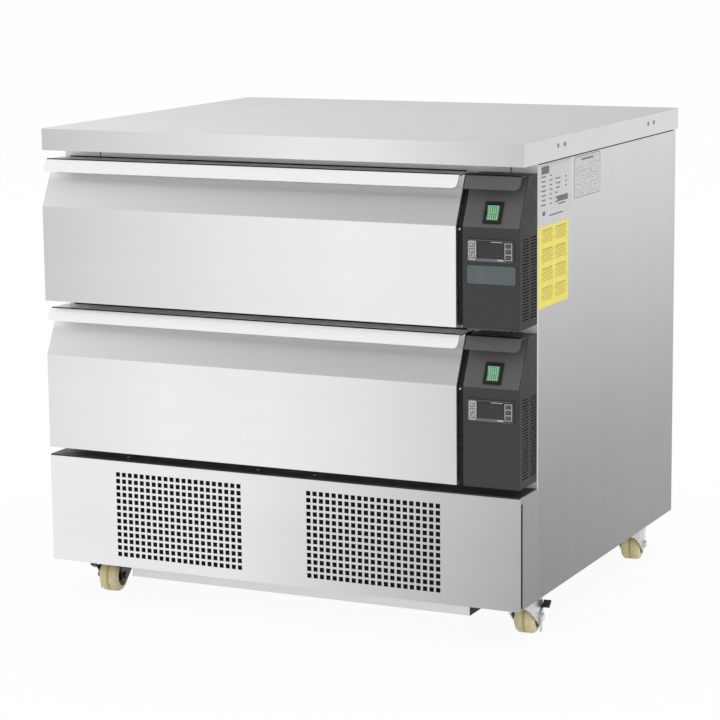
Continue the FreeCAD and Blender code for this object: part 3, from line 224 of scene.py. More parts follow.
def brushed(name, tone, rough=0.3, grain="x", strength=0.05):
    """Satin stainless steel, brushed along one axis. tone(finish) gives its colour, into which most
    tones paint the steel's reflections and shade.
    """
    finish = Finish(name, grey(0.8), rough, metallic=1.0, specular_tint=(0.85, 0.85, 0.85, 1.0))
    hair = finish.noise(1.0, detail=4.0, rough=0.6, stretch=stretched(900.0, 6.0, grain))
    cloud = finish.noise(1.0, detail=2.0, stretch=stretched(14.0, 1.2, grain))
    streaks = finish.greys(hair, (0.25, 1 - strength), (0.75, 1.0))
    clouds = finish.greys(cloud, (0.3, 1 - strength), (0.7, 1.0))
    streaked = finish.mix(1.0, tone(finish), streaks, "MULTIPLY")
    finish.colour(finish.mix(1.0, streaked, clouds, "MULTIPLY"))
    finish.rough(hair, rough - 0.05, rough + 0.08)
    finish.bump(hair, 0.12, 0.0002)
    return finish.mat


def flat_tone(level):
    return lambda finish: grey(level)


def moulded(name, colour, rough, grain=0.35, sheen=0.3):
    """Moulded plastic or rubber, with a fine spark-eroded grain and slight scuffs."""
    finish = Finish(name, colour, rough, specular_ior_level=sheen)
    fine = finish.noise(1400.0, detail=2.0)
    scuffs = finish.noise(35.0, detail=5.0, rough=0.7)
    worn = tuple(min(1.0, c * 1.25 + 0.004) for c in colour)
    finish.colour(finish.mix(finish.remap(scuffs, 0.45, 0.75, 0.0, 0.6), colour, worn))
    finish.rough(scuffs, rough - 0.05, rough + 0.08)
    finish.bump(fine, grain, 0.00008)
    return finish.mat


def zinc(name, colour, rough=0.32, clouds=0.8):
    """Zinc-plated steel: slightly clouded, with a fine spangle."""
    finish = Finish(name, colour, rough, metallic=1.0)
    spangle = finish.noise(260.0, detail=3.0, rough=0.6)
    cloud = finish.noise(22.0, detail=4.0)
    dull = tuple(c * 0.72 for c in colour)
    mixed = finish.mix(finish.remap(cloud, 0.35, 0.7, 0.0, clouds), colour, dull)
    finish.colour(finish.mix(finish.remap(spangle, 0.4, 0.7, 0.0, 0.25), mixed, grey(0.9)))
    finish.rough(cloud, rough - 0.08, rough + 0.12)
    finish.bump(spangle, 0.1, 0.0003)
    return finish.mat


# Tones of the steel, as the photograph shows them
# The worktop, side, drawer and base tones below paint reflections and shade into the steel's colour


def worktop_tone(f):
    """Painted reflection and shade: pale at the front left, greyer to the back right; the front edge is
    palest in its middle. The top, front edge and side edges are painted at their own levels by the way
    they face.
    """
    across = f.along("X", TOP_LEFT, TOP_RIGHT)
    depth = f.along("Y", FRONT, BACK)
    top = f.greys(across, (0.0, 0.81), (0.5, 0.70), (1.0, 0.58))
    top = f.mix(depth, top, f.mix(0.45, top, grey(0.47)))
    edge = f.greys(across, (0.0, 0.615), (0.25, 0.755), (0.55, 0.885), (0.7, 0.86), (1.0, 0.62))
    side = f.mix(depth, grey(0.745), grey(0.80))
    walls = f.mix(f.remap(f.facing("X"), 0.4, 0.6), edge, side)
    return f.mix(f.remap(f.facing("Z"), 0.4, 0.6), walls, top)


def side_tone(f):
    """Painted reflection and shade: darker towards the floor and a little paler towards the back, with
    a painted highlight down the folded front edge.
    """
    rise = f.split("Z")
    depth = f.split("Y")
    fold = FRAME + 0.003
    levels = ((0.0, 0.272), (0.25, 0.335), (0.4, 0.405), (0.6, 0.525), (0.8, 0.645), (1.0, 0.745))
    steel = f.greys(f.remap(rise, SKIRT, UNDER), *levels)
    steel = f.mix(f.remap(depth, FRONT, BACK), steel, f.mix(0.12, steel, grey(0.9)))
    # Painted highlight along the fold: strong above the ledge, faint below it
    below_ledge = f.remap(rise, LEDGE - 0.001, LEDGE + 0.001, 1.0, 0.0)
    hem_highlight = f.mix(f.remap(depth, fold, fold + 0.002, 0.06, 0.0), steel, grey(0.7))
    line = f.mix(f.remap(depth, fold, fold + 0.003, 0.75, 0.0), steel, grey(0.92))
    return f.mix(below_ledge, line, hem_highlight)


def face_tone(lip, *levels):
    """A drawer front with painted reflection and shade: the face's tones across it, a slope painted
    darker that is painted lighter under the lip against the lip's shadow, and a top painted bright.
    """

    def tone(f):
        across = f.along("X", LEFT, FACE_END)
        upward = f.facing("Z")
        f.metallic(f.remap(upward, 0.15, 0.3, 0.85, 0.3))
        face = f.greys(across, *levels)
        # Painted shade: the slope is darker than the face
        slope = f.greys(across, (0.0, 0.74), (0.25, 0.66), (0.5, 0.585), (0.75, 0.525), (1.0, 0.505))
        under = low(lip).z
        # Painted light under the lip, where the lip's shadow falls on the slope
        painted_lift_under_lip = f.remap(f.split("Z"), under - 0.017, under - 0.007, 0.0, 0.85)
        slope = f.mix(painted_lift_under_lip, slope, grey(1.0))
        sloped = f.mix(f.remap(upward, 0.15, 0.3), face, slope)
        # Painted light: the top, which faces up, is painted bright
        return f.mix(f.remap(upward, 0.7, 0.9), sloped, grey(0.9))

    return tone


def lip_tone(f):
    """Bright, and satin enough on top not to mirror the dark gap above it."""
    f.metallic(f.remap(f.facing("Z"), 0.5, 0.8, 1.0, 0.15))
    return grey(0.89)


def frame_tone(f):
    """Pale, and only half metallic, so that it doesn't mirror the dark lines beside it."""
    f.set("Metallic", 0.45)
    return grey(0.92)


def base_tone(f):
    """Painted reflection and shade: greyer towards the right, most of all near the floor."""
    across = f.along("X", LEFT, RIGHT)
    levels = ((0.0, 0.90), (0.25, 0.90), (0.45, 0.845), (0.7, 0.71), (0.84, 0.585), (1.0, 0.50))
    upper = f.greys(across, *levels)
    lower = f.greys(across, (0.0, 0.91), (0.4, 0.86), (0.7, 0.635), (1.0, 0.435))
    return f.mix(f.along("Z", LEDGE, SKIRT), upper, lower)


# Each drawer face's painted reflection tones from left to right, as places and levels
UPPER_LEVELS = ((0.0, 0.635), (0.24, 0.75), (0.49, 0.85), (0.75, 0.905), (1.0, 0.88))
LOWER_LEVELS = ((0.0, 0.81), (0.3, 0.915), (0.55, 0.895), (0.8, 0.80), (1.0, 0.68))
upper_tone = face_tone("handle_lip_upper", *UPPER_LEVELS)
lower_tone = face_tone("handle_lip_lower", *LOWER_LEVELS)

steel_top = brushed("steel_worktop", worktop_tone, rough=0.34, grain="x", strength=0.03)
steel_side = brushed("steel_side", side_tone, rough=0.34, grain="z", strength=0.03)
face_upper = brushed("steel_drawer_upper", upper_tone, rough=0.32, grain="x", strength=0.03)
face_lower = brushed("steel_drawer_lower", lower_tone, rough=0.32, grain="x", strength=0.03)
steel_base = brushed("steel_base", base_tone, rough=0.34, grain="x", strength=0.03)
steel_lip = brushed("steel_lip", lip_tone, rough=0.28, grain="x", strength=0.02)
steel_frame = brushed("steel_frame", frame_tone, rough=0.34, grain="x", strength=0.04)
steel_liner = brushed("steel_liner", flat_tone(0.66), rough=0.38, grain="y", strength=0.06)
steel_tray = brushed("steel_tray", flat_tone(0.74), rough=0.4, grain="x", strength=0.06)
zinc_bright = zinc("zinc_bright", (0.72, 0.72, 0.74))
zinc_sheet = zinc("zinc_sheet", (0.55, 0.56, 0.57), rough=0.42, clouds=0.25)
zinc_runner = zinc("zinc_runner", (0.62, 0.63, 0.65), rough=0.3)
zinc_dark = zinc("zinc_dark", (0.22, 0.22, 0.225), rough=0.4)
coil_metal = zinc("coil_metal", (0.10, 0.10, 0.105), rough=0.5)
fork_dark = moulded("fork_dark", (0.014, 0.014, 0.015), 0.4, sheen=0.5)
plastic_black = moulded("plastic_black", (0.006, 0.006, 0.0065), 0.5, sheen=0.2)
ledge_plastic = moulded("ledge_plastic", (0.026, 0.026, 0.027), 0.42, sheen=0.4)
rubber_black = moulded("rubber_black", (0.006, 0.006, 0.0065), 0.65, sheen=0.15)
key_rubber = moulded("key_rubber", (0.13, 0.13, 0.135), 0.55)
pot_paint = moulded("pot_paint", (0.016, 0.016, 0.017), 0.35, sheen=0.5)
foam = moulded("foam", (0.74, 0.70, 0.60), 0.8)
inner_plastic = moulded("inner_plastic", (0.62, 0.63, 0.63), 0.4, sheen=0.5)
board = moulded("board", (0.70, 0.69, 0.67), 0.7)
switch_black = moulded("switch_black", (0.007, 0.007, 0.0075), 0.42, grain=0.1, sheen=0.25)
bezel_black = moulded("bezel_black", (0.028, 0.028, 0.029), 0.45, grain=0.15, sheen=0.3)
screw_black = moulded("screw_black", (0.014, 0.014, 0.015), 0.4, sheen=0.5)
hub_black = moulded("hub_black", (0.010, 0.010, 0.011), 0.45)


def control_finish():
    """The control boxes' grained dark plastic, with painted light and shade: lighter where it faces up,
    darker on its right side.
    """
    finish = Finish("control_plastic", grey(0.05), 0.5, specular_ior_level=0.25)
    # Painted light: faces that look up are lighter
    front = finish.mix(finish.remap(finish.facing("Z"), 0.15, 0.4), grey(0.044), grey(0.108))
    # Painted shade: the right side face is darker
    side = finish.along("X", RIGHT - 0.0012, RIGHT - 0.0006)
    body = finish.mix(side, front, grey(0.015))
    scuffs = finish.noise(30.0, detail=5.0, rough=0.65)
    finish.colour(finish.mix(finish.remap(scuffs, 0.45, 0.8, 0.0, 0.08), body, grey(0.09)))
    finish.rough(scuffs, 0.44, 0.56)
    finish.bump(finish.noise(1600.0, detail=2.0), 0.35, 0.0001)
    return finish.mat


def lens_finish():
    """The rockers' green lens, lit from inside by a weak lamp."""
    finish = Finish("green_lens", (0.12, 0.38, 0.18), 0.18, coat_weight=0.4)
    ribs = finish.add("ShaderNodeTexWave", wave_type="BANDS", bands_direction="X")
    ribs.inputs["Scale"].default_value = 90.0
    ribs.inputs["Distortion"].default_value = 0.4
    finish.link(finish.place(), ribs.inputs["Vector"])
    tint = finish.ramp(ribs.outputs["Fac"], (0.2, (0.08, 0.27, 0.12)), (0.8, (0.24, 0.50, 0.30)))
    finish.colour(tint)
    finish.link(tint, finish.shader.inputs["Emission Color"])
    finish.set("Emission Strength", 0.12)
    return finish.mat


def wheel_finish(castor):
    """Cream nylon with a brown mould line round the middle of the tread."""
    node = f"castor_wheel_{castor}"
    finish = Finish(f"nylon_{castor}", (0.72, 0.62, 0.36), 0.38, subsurface_weight=0.05)
    from_centre = finish.add("ShaderNodeVectorMath", operation="SUBTRACT")
    finish.link(finish.place(), from_centre.inputs[0])
    from_centre.inputs[1].default_value = (low(node) + high(node)) / 2
    across = finish.add("ShaderNodeVectorMath", operation="DOT_PRODUCT")
    finish.link(from_centre.outputs[0], across.inputs[0])
    across.inputs[1].default_value = Vector(joints[f"castor_{castor}_roll"]["axis"])
    offset = finish.math("ABSOLUTE", across.outputs["Value"], 0.0)
    mottle = finish.noise(90.0, detail=4.0, rough=0.65)
    cream = finish.ramp(mottle, (0.3, (0.67, 0.57, 0.29)), (0.7, (0.80, 0.71, 0.44)))
    mould_line = finish.remap(offset, 0.0008, 0.0035, 0.7, 0.0)
    finish.colour(finish.mix(mould_line, cream, (0.36, 0.25, 0.09)))
    finish.rough(mottle, 0.3, 0.46)
    finish.bump(mottle, 0.08, 0.001)
    return finish.mat


def pedal_finish():
    """The brake levers: zinc-plated, with a black coat on the foot pad."""
    bright = (0.66, 0.66, 0.68)
    dull = (0.44, 0.44, 0.46)
    coat = (0.014, 0.014, 0.015)
    finish = Finish("pedal_zinc", bright, 0.34)
    pad = finish.along("Z", AXLE + 0.0120, AXLE + 0.0130)
    cloud = finish.noise(120.0, detail=4.0)
    plated = finish.mix(finish.remap(cloud, 0.35, 0.7, 0.0, 0.8), bright, dull)
    finish.colour(finish.mix(pad, plated, coat))
    finish.metallic(finish.remap(pad, 0.0, 1.0, 1.0, 0.0))
    finish.rough(cloud, 0.28, 0.44)
    finish.bump(cloud, 0.1, 0.0003)
    return finish.mat


control_plastic = control_finish()
pedal_zinc = pedal_finish()
lens = lens_finish()

# Each node takes the finish of the longest name here that its own name starts with

FINISHES = {
    "worktop": steel_top,
    "worktop_core": board,
    "side_panel": steel_side,
    "back_panel": zinc_sheet,
    "cable_gland": plastic_black,
    "front_frame": steel_frame,
    "insulation_block": foam,
    "drawer_liners": steel_liner,
    "base_grille_panel": steel_base,
    "base_ledge": ledge_plastic,
    "base_floor": zinc_sheet,
    "drip_tray": steel_tray,
    "compressor": pot_paint,
    "condenser": coil_metal,
    "fan": plastic_black,
    "evaporators": zinc_sheet,
    "drawer_front_upper": face_upper,
    "drawer_front_lower": face_lower,
    "drawer_inner": inner_plastic,
    "handle_lip": steel_lip,
    "drawer_gasket": rubber_black,
    "drawer_tub": steel_liner,
    "runner": zinc_runner,
    "control_cover": control_plastic,
    "control_side_strips": plastic_black,
    "controller": bezel_black,
    "key": key_rubber,
    "rocker": lens,
    "switch_cases": switch_black,
    "castor_fork": zinc_bright,
    "castor_plates": zinc_bright,
    "brake_pedal": pedal_zinc,
    "trim_screws": zinc_bright,
}


def paint(obj, finish):
    obj.data.materials.clear()
    obj.data.materials.append(finish)


for name, obj in nodes.items():
    stem = max((key for key in FINISHES if name.startswith(key)), key=len, default=None)
    if stem:
        paint(obj, FINISHES[stem])
for castor in CASTORS:
    paint(nodes[f"castor_wheel_{castor}"], wheel_finish(castor))
paint(nodes["castor_fork_front_left"], fork_dark)


# Mesh helpers

FACE_RIGHT = (1, 0, 0)
FACE_UP = (0, 0, 1)
SIDE_RIGHT = (0, 1, 0)
SHARP_ANGLE = math.radians(35.0)


def settle(name, mesh, body, finish):
    """Links a finished mesh as a piece that rides on a body."""
    obj = bpy.data.objects.new(name, mesh)
    bpy.context.scene.collection.objects.link(obj)
    mesh.shade_smooth()
    mesh.set_sharp_from_angle(angle=SHARP_ANGLE)
    paint(obj, finish)
    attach(obj, body)
    return obj


def basis(origin, right, up):
    """The matrix that puts a drawing's x and y along right and up, at origin."""
    right = Vector(right).normalized()
    up = Vector(up).normalized()
    matrix = Matrix((right, up, right.cross(up))).transposed().to_4x4()
    matrix.translation = Vector(origin)
    return matrix


def to_front(place):
    """A drawing plane that faces the front."""
    return basis(place, FACE_RIGHT, FACE_UP)


def rounded(width, height, radius, steps=5):
    """The corners of a rounded rectangle about the origin, anticlockwise."""
    points = []
    for sign_x, sign_y, start in ((1, -1, -90), (1, 1, 0), (-1, 1, 90), (-1, -1, 180)):
        for step in range(steps + 1):
            angle = math.radians(start + 90 * step / steps)
            x = sign_x * (width / 2 - radius) + radius * math.cos(angle)
            y = sign_y * (height / 2 - radius) + radius * math.sin(angle)
            points.append((x, y))
    return points


def to_mesh(bm, name="piece"):
    """Turns a bmesh into a mesh, and frees it."""
    mesh = bpy.data.meshes.new(name)
    bm.to_mesh(mesh)
    bm.free()
    return mesh


def ring_loops(loops, closed=False):
    """Joins closed loops of equal length in turn, and caps both ends or joins them too."""
    bm = bmesh.new()
    rows = [[bm.verts.new(point) for point in loop] for loop in loops]
    count = len(rows[0])
    following = rows[1:] + rows[:1] if closed else rows[1:]
    for first, second in zip(rows, following):
        for i in range(count):
            j = (i + 1) % count
            bm.faces.new((first[i], first[j], second[j], second[i]))
    if not closed:
        bm.faces.new(list(reversed(rows[0])))
        bm.faces.new(rows[-1])
    bmesh.ops.recalc_face_normals(bm, faces=bm.faces)
    return to_mesh(bm)


def lifted(outline, height):
    """A flat outline's points at one height."""
    return [Vector((x, y, height)) for x, y in outline]


def plate(width, height, radius, thick, matrix, edge=0.0002):
    """A thin rounded plate with a softened front edge. It stands out along the matrix's z."""
    outline = rounded(width, height, radius)
    inner = rounded(width - 2 * edge, height - 2 * edge, max(radius - edge, 1e-5))
    mesh = ring_loops([lifted(outline, 0), lifted(outline, thick - edge), lifted(inner, thick)])
    mesh.transform(matrix)
    return mesh


def outline_frame(width, height, radius, line, thick, matrix):
    """A printed or moulded outline: a rounded ring of a given line width."""
    outer = rounded(width, height, radius)
    inner = rounded(width - 2 * line, height - 2 * line, max(radius - line, 1e-5))
    loops = [lifted(outer, 0), lifted(outer, thick), lifted(inner, thick), lifted(inner, 0)]
    mesh = ring_loops(loops, closed=True)
    mesh.transform(matrix)
    return mesh


def turned(profile, matrix, segments=32):
    """A turned shape: (radius, height) points spun about the matrix's z."""
    loops = []
    for radius, height in profile:
        loop = []
        for step in range(segments):
            angle = 2 * math.pi * step / segments
            loop.append(Vector((radius * math.cos(angle), radius * math.sin(angle), height)))
        loops.append(loop)
    mesh = ring_loops(loops)
    mesh.transform(matrix)
    return mesh


def joined(meshes):
    """One mesh out of several."""
    bm = bmesh.new()
    for mesh in meshes:
        bm.from_mesh(mesh)
    return to_mesh(bm)


def bar(section, start, end):
    """A straight bar along X of one closed section, which is given as its y and z."""
    return ring_loops([[Vector((x, y, z)) for y, z in section] for x in (start, end)])


def half_round(centre, base, width, height, steps=8):
    """A domed section on a flat base."""
    points = []
    for step in range(steps + 1):
        angle = math.pi * step / steps
        points.append((centre + width / 2 * math.cos(angle), base + height * math.sin(angle)))
    return points


def block(xs, ys, zs):
    """A box between two places on each axis, with its edges broken."""
    lowest, highest = map(Vector, zip(sorted(xs), sorted(ys), sorted(zs)))
    middle = (lowest + highest) / 2
    span = highest - lowest
    place = to_front((middle.x, highest.y, middle.z))
    return plate(span.x, span.z, 0.0001, span.y, place, edge=0.00008)


def solids(node):
    """The box of each separate solid of a node, in a fixed order."""
    bm = bmesh.new()
    bm.from_mesh(nodes[node].data)
    bmesh.ops.remove_doubles(bm, verts=bm.verts, dist=1e-6)
    unseen = set(bm.verts)
    boxes = []
    for first in bm.verts:
        if first not in unseen:
            continue
        unseen.remove(first)
        found, edge = [first], [first]
        while edge:
            vert = edge.pop()
            for link in vert.link_edges:
                other = link.other_vert(vert)
                if other in unseen:
                    unseen.remove(other)
                    found.append(other)
                    edge.append(other)
        points = [vert.co for vert in found]
        lowest = Vector([min(p[i] for p in points) for i in range(3)])
        highest = Vector([max(p[i] for p in points) for i in range(3)])
        boxes.append((lowest, highest))
    bm.free()
    return sorted(boxes, key=lambda box: tuple(round(v, 5) for v in box[0]))


# Black seals along each grip and each gasket

SEAL_DEPTH = FRONT + 0.0175
SEAL_SINK = 0.0002


def seal(name, body, depth, ends, base, size):
    """A domed strip along X that sinks slightly into the steel below it."""
    width, height = size
    strip = bar(half_round(depth, base - SEAL_SINK, width, height), *ends)
    settle(name, strip, body, rubber_black)


for drawer in DRAWERS:
    body = f"drawer_{drawer}"
    lip_low, lip_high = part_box(f"handle_lip_{drawer}")
    gasket_low, gasket_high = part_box(f"drawer_gasket_{drawer}")
    top = lip_high.z
    grip = (lip_low.x + 0.002, lip_high.x - 0.002)
    control = (COVER_LEFT + 0.001, RIGHT - 0.004)
    gasket = (gasket_low.x, gasket_high.x)
    gasket_depth = (gasket_low.y + gasket_high.y) / 2
    seal(f"grip_seal_{drawer}", body, SEAL_DEPTH, grip, top, (0.0035, 0.0020))
    seal(f"control_seal_{drawer}", "cabinet", SEAL_DEPTH, control, top, (0.0035, 0.0022))
    seal(f"gasket_bead_{drawer}", body, gasket_depth, gasket, top, (0.0045, 0.0018))


# Controllers: screens, outlines, symbols and key marks

white_print_and_highlight = moulded("white_print_and_highlight", (0.72, 0.72, 0.73), 0.5, grain=0.05)
print_dark = moulded("print_dark", (0.022, 0.022, 0.023), 0.5, grain=0.05)
bezel_grey = moulded("bezel_grey", (0.15, 0.15, 0.153), 0.45, grain=0.1)
column_grey = moulded("column_grey", (0.50, 0.50, 0.505), 0.5, grain=0.1)
unlit = moulded("unlit_segments", (0.042, 0.041, 0.043), 0.4, grain=0.05)


def screen_finish():
    """The controller's dark window, with a faint haze."""
    finish = Finish("screen_glass", (0.03, 0.031, 0.033), 0.2, specular_ior_level=0.3)
    haze = finish.noise(60.0, detail=3.0)
    clear = (0.030, 0.030, 0.032)
    hazy = (0.045, 0.046, 0.048)
    finish.colour(finish.mix(finish.remap(haze, 0.4, 0.7, 0.0, 0.5), clear, hazy))
    finish.rough(haze, 0.16, 0.26)
    return finish.mat


screen_glass = screen_finish()

# A digit's bars: the middle of each across and up from the digit's middle, its width and height

DIGIT_BARS = (
    (0, 0.0072, 0.0058, 0.0012),
    (0, 0.0, 0.0058, 0.0012),
    (0, -0.0072, 0.0058, 0.0012),
    (-0.0036, 0.0036, 0.0012, 0.0058),
    (0.0036, 0.0036, 0.0012, 0.0058),
    (-0.0036, -0.0036, 0.0012, 0.0058),
    (0.0036, -0.0036, 0.0012, 0.0058),
)
DIGIT_PITCH = 0.0125
KEY_MARKS = ((0.0030, 0.0008), (0.0008, 0.0030), (0.0020, 0.0020))
WINDOW_X = 0.0410
SYMBOLS_X = 0.0082
SYMBOLS_Z = 0.0082
SYMBOLS_PITCH = 0.0092
PRINT = 0.0002


def flat(x, z, wide, tall, y, thick=0.0003, radius=0.0002):
    """A small plate that faces the front."""
    return plate(wide, tall, radius, thick, to_front((x, y, z)), edge=min(0.00005, thick / 3))


def on_controller(name, finish, meshes):
    settle(name, joined(meshes), "cabinet", finish)


def symbol(x, z, y, row):
    """A ringed blank symbol, a little different in each row."""
    ring = outline_frame(0.0096, 0.0076, 0.0010, 0.0011, 0.00025, to_front((x, y, z)))
    dot = flat(x - 0.0012 + 0.0012 * row, z + 0.0006, 0.0020, 0.0020, y, 0.00025, 0.0009)
    dash = flat(x + 0.0012 - 0.0006 * row, z - 0.0014, 0.0036, 0.0009, y, 0.00025, 0.0003)
    return [ring, dot, dash]


for drawer in DRAWERS:
    box_low, box_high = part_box(f"controller_{drawer}")
    keys = [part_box(f"key_{drawer}_{number}") for number in (1, 2, 3)]
    front = box_low.y
    middle = (box_low + box_high) / 2
    window = Vector((box_low.x + WINDOW_X, front + 0.0006, middle.z))

    glass = flat(window.x, window.z, 0.0462, 0.0252, window.y, 0.0004, 0.0015)
    on_controller(f"screen_{drawer}", screen_glass, [glass])
    rim_place = to_front((middle.x, front + 0.0001, middle.z))
    rim = outline_frame(0.0790, 0.0350, 0.0030, 0.0008, 0.0003, rim_place)
    on_controller(f"bezel_rim_{drawer}", bezel_grey, [rim])
    sill = flat(middle.x, box_low.z + 0.0032, 0.0520, 0.0038, front)
    on_controller(f"bezel_sill_{drawer}", bezel_grey, [sill])

    # Three white printed marks on the sill, and a painted highlight along the top edge above the screen
    print_and_highlight = []
    for step in (-1, 0, 1):
        x = window.x + 0.0160 + 0.0034 * step
        print_and_highlight.append(flat(x, box_low.z + 0.0034, 0.0026, 0.0018, front - PRINT))
    # Painted highlight: a thin pale line along the bezel's top edge
    print_and_highlight.append(flat(window.x + 0.0095, box_high.z - 0.0030, 0.0200, 0.0007, front, 0.0002))
    on_controller(f"sill_print_and_highlight_{drawer}", white_print_and_highlight, print_and_highlight)

    symbols_x = box_low.x + SYMBOLS_X
    key_x = (keys[0][0].x + keys[0][1].x) / 2
    columns = [flat(symbols_x, middle.z, 0.0134, 0.0312, front, 0.0003, 0.0022)]
    for key_low, key_high in keys:
        key_place = to_front((key_x, front, (key_low.z + key_high.z) / 2))
        columns.append(outline_frame(0.0128, 0.0096, 0.0012, 0.0012, 0.0003, key_place))
    on_controller(f"bezel_columns_{drawer}", column_grey, columns)

    symbols = []
    for row in range(3):
        z = box_low.z + SYMBOLS_Z + SYMBOLS_PITCH * row
        symbols += symbol(symbols_x, z, front - PRINT, row)
    on_controller(f"indicator_marks_{drawer}", print_dark, symbols)

    bars = []
    for digit in range(3):
        x = window.x - 0.0130 + DIGIT_PITCH * digit
        for right, up, wide, tall in DIGIT_BARS:
            bars.append(flat(x + right, window.z + up, wide, tall, front + 0.0002, 0.00006, 0.0005))
    on_controller(f"screen_segments_{drawer}", unlit, bars)

    for number, ((key_low, key_high), (wide, tall)) in enumerate(zip(keys, KEY_MARKS), 1):
        centre = (key_low + key_high) / 2
        face = key_low.y + 0.0001
        key_place = to_front((centre.x, face, centre.z))
        ring = outline_frame(0.0092, 0.0060, 0.0012, 0.0009, 0.0001, key_place)
        mark = flat(centre.x, centre.z, wide, tall, face, 0.0001)
        piece = joined([ring, mark])
        settle(f"key_mark_{drawer}_{number}", piece, f"button_{drawer}_{number}", print_dark)


# Marks on the rocker switches' lenses, and the blank badge


def front_faces(node):
    """The middle and the way out of the two largest faces of a node that look to the front."""
    found = {}
    for face in nodes[node].data.polygons:
        if face.normal.y > -0.5:
            continue
        way = tuple(round(v, 2) for v in face.normal)
        total, moment = found.get(way, (0.0, Vector()))
        found[way] = (total + face.area, moment + face.area * face.center)
    ranked = sorted(found.items(), key=lambda item: -item[1][0])[:2]
    return [(moment / total, Vector(way).normalized()) for way, (total, moment) in ranked]


def on_face(centre, way, right, up):
    """A drawing plane on a sloped face that looks to the front."""
    across = Vector(FACE_RIGHT)
    rise = way.cross(across)
    return basis(centre + right * across + up * rise, across, rise)


def lens_mark(wide, tall, place):
    return plate(wide, tall, 0.0003, 0.0001, place, edge=0.00002)


lens_print = moulded("lens_print", (0.045, 0.20, 0.09), 0.3, grain=0.05)
for drawer in DRAWERS:
    marks = []
    for centre, way in front_faces(f"rocker_{drawer}"):
        marks.append(lens_mark(0.0120, 0.0009, on_face(centre, way, 0, 0.0036)))
        for step in (-1.5, -0.5, 0.5, 1.5):
            marks.append(lens_mark(0.0010, 0.0056, on_face(centre, way, 0.0032 * step, -0.0006)))
    settle(f"lens_marks_{drawer}", joined(marks), f"rocker_switch_{drawer}", lens_print)

badge_slate = moulded("badge_slate", (0.100, 0.122, 0.130), 0.4, grain=0.1)
badge_place = to_front((RIGHT - 0.04825, FRONT, low("control_cover_upper").z + 0.0885))
badge = plate(0.0835, 0.0300, 0.0035, 0.0010, badge_place, edge=0.0003)
settle("badge_plate", badge, "cabinet", badge_slate)


# Blank stickers on the right side


def paper(name, colour):
    """Matt printed film, slightly uneven."""
    finish = Finish(name, colour, 0.5, specular_ior_level=0.3)
    mottle = finish.noise(45.0, detail=3.0, rough=0.6)
    duller = tuple(c * 0.93 for c in colour)
    finish.colour(finish.mix(finish.remap(mottle, 0.4, 0.65), duller, colour))
    finish.rough(mottle, 0.42, 0.55)
    finish.bump(mottle, 0.05, 0.0005)
    return finish.mat


class Sticker:
    """A sticker on the right panel, placed from the front and the skirt."""

    def __init__(self, name, y_low, y_high, z_low, z_high, proud=0.0002):
        self.name = name
        self.corner = Vector((RIGHT, FRONT + y_low, SKIRT + z_low))
        self.wide = y_high - y_low
        self.tall = z_high - z_low
        self.proud = proud
        self.marks = []

    def spot(self, u, v, out):
        """The drawing plane at shares u and v of the sides, and some way out."""
        place = self.corner + Vector((out, u * self.wide, v * self.tall))
        return basis(place, SIDE_RIGHT, FACE_UP)

    def film(self, finish, radius):
        mesh = plate(self.wide, self.tall, radius, self.proud, self.spot(0.5, 0.5, 0), edge=0.00005)
        settle(self.name, mesh, "cabinet", finish)

    def mark(self, u, v, wide, tall, radius=0.0002):
        """A plain mark: its middle as shares of the sides, its size in metres."""
        radius = min(radius, wide / 3, tall / 3)
        self.marks.append(plate(wide, tall, radius, 0.0001, self.spot(u, v, self.proud), edge=0.00002))

    def outline(self, line, radius):
        place = self.spot(0.5, 0.5, self.proud)
        self.marks.append(outline_frame(self.wide, self.tall, radius, line, 0.0001, place))

    def print(self, name, finish):
        settle(name, joined(self.marks), "cabinet", finish)


silver_paper = paper("silver_paper", (0.64, 0.64, 0.65))
yellow_paper = paper("yellow_paper", (0.90, 0.79, 0.13))
ink = moulded("label_ink", (0.14, 0.14, 0.145), 0.5, grain=0.05)
ink_faint = moulded("label_ink_faint", (0.20, 0.20, 0.20), 0.5, grain=0.05)
ink_olive = moulded("label_ink_olive", (0.36, 0.32, 0.08), 0.5, grain=0.05)

rating = Sticker("rating_label", 0.079, 0.230, 0.622, 0.7225)
rating.film(silver_paper, 0.002)
rating.mark(0.22, 0.905, 0.034, 0.0125, 0.001)
for row in range(7):
    v = 0.80 - 0.076 * row
    rating.mark(0.17, v, 0.021 - 0.002 * (row % 3), 0.0022)
    rating.mark(0.39, v, 0.010 + 0.003 * (row % 2), 0.0020)
    if row in (1, 2, 3):
        rating.mark(0.60, v, 0.026 - 0.003 * row, 0.0020)
        rating.mark(0.84, v, 0.007, 0.0022)
    elif row:
        rating.mark(0.55, v, 0.012, 0.0020)
rating.mark(0.74, 0.385, 0.050, 0.0095, 0.0005)
rating.mark(0.72, 0.300, 0.034, 0.0022)
rating.mark(0.18, 0.205, 0.012, 0.0070, 0.001)
rating.mark(0.55, 0.150, 0.062, 0.0022)
rating.print("rating_marks", ink)

diagram = Sticker("diagram_film", 0.246, 0.372, 0.652, 0.722)
diagram.film(silver_paper, 0.006)
diagram.outline(0.0010, 0.006)
diagram.mark(0.50, 0.90, 0.058, 0.0034)
strokes = random.Random(7)
for column in range(11):
    for row in range(7):
        u = 0.09 + 0.082 * column + strokes.uniform(-0.02, 0.02)
        v = 0.10 + 0.107 * row + strokes.uniform(-0.03, 0.03)
        if strokes.random() < 0.45:
            diagram.mark(u, v, strokes.uniform(0.006, 0.014), 0.0007)
        else:
            diagram.mark(u, v, 0.0008, strokes.uniform(0.004, 0.010))
diagram.print("diagram_marks", ink_faint)

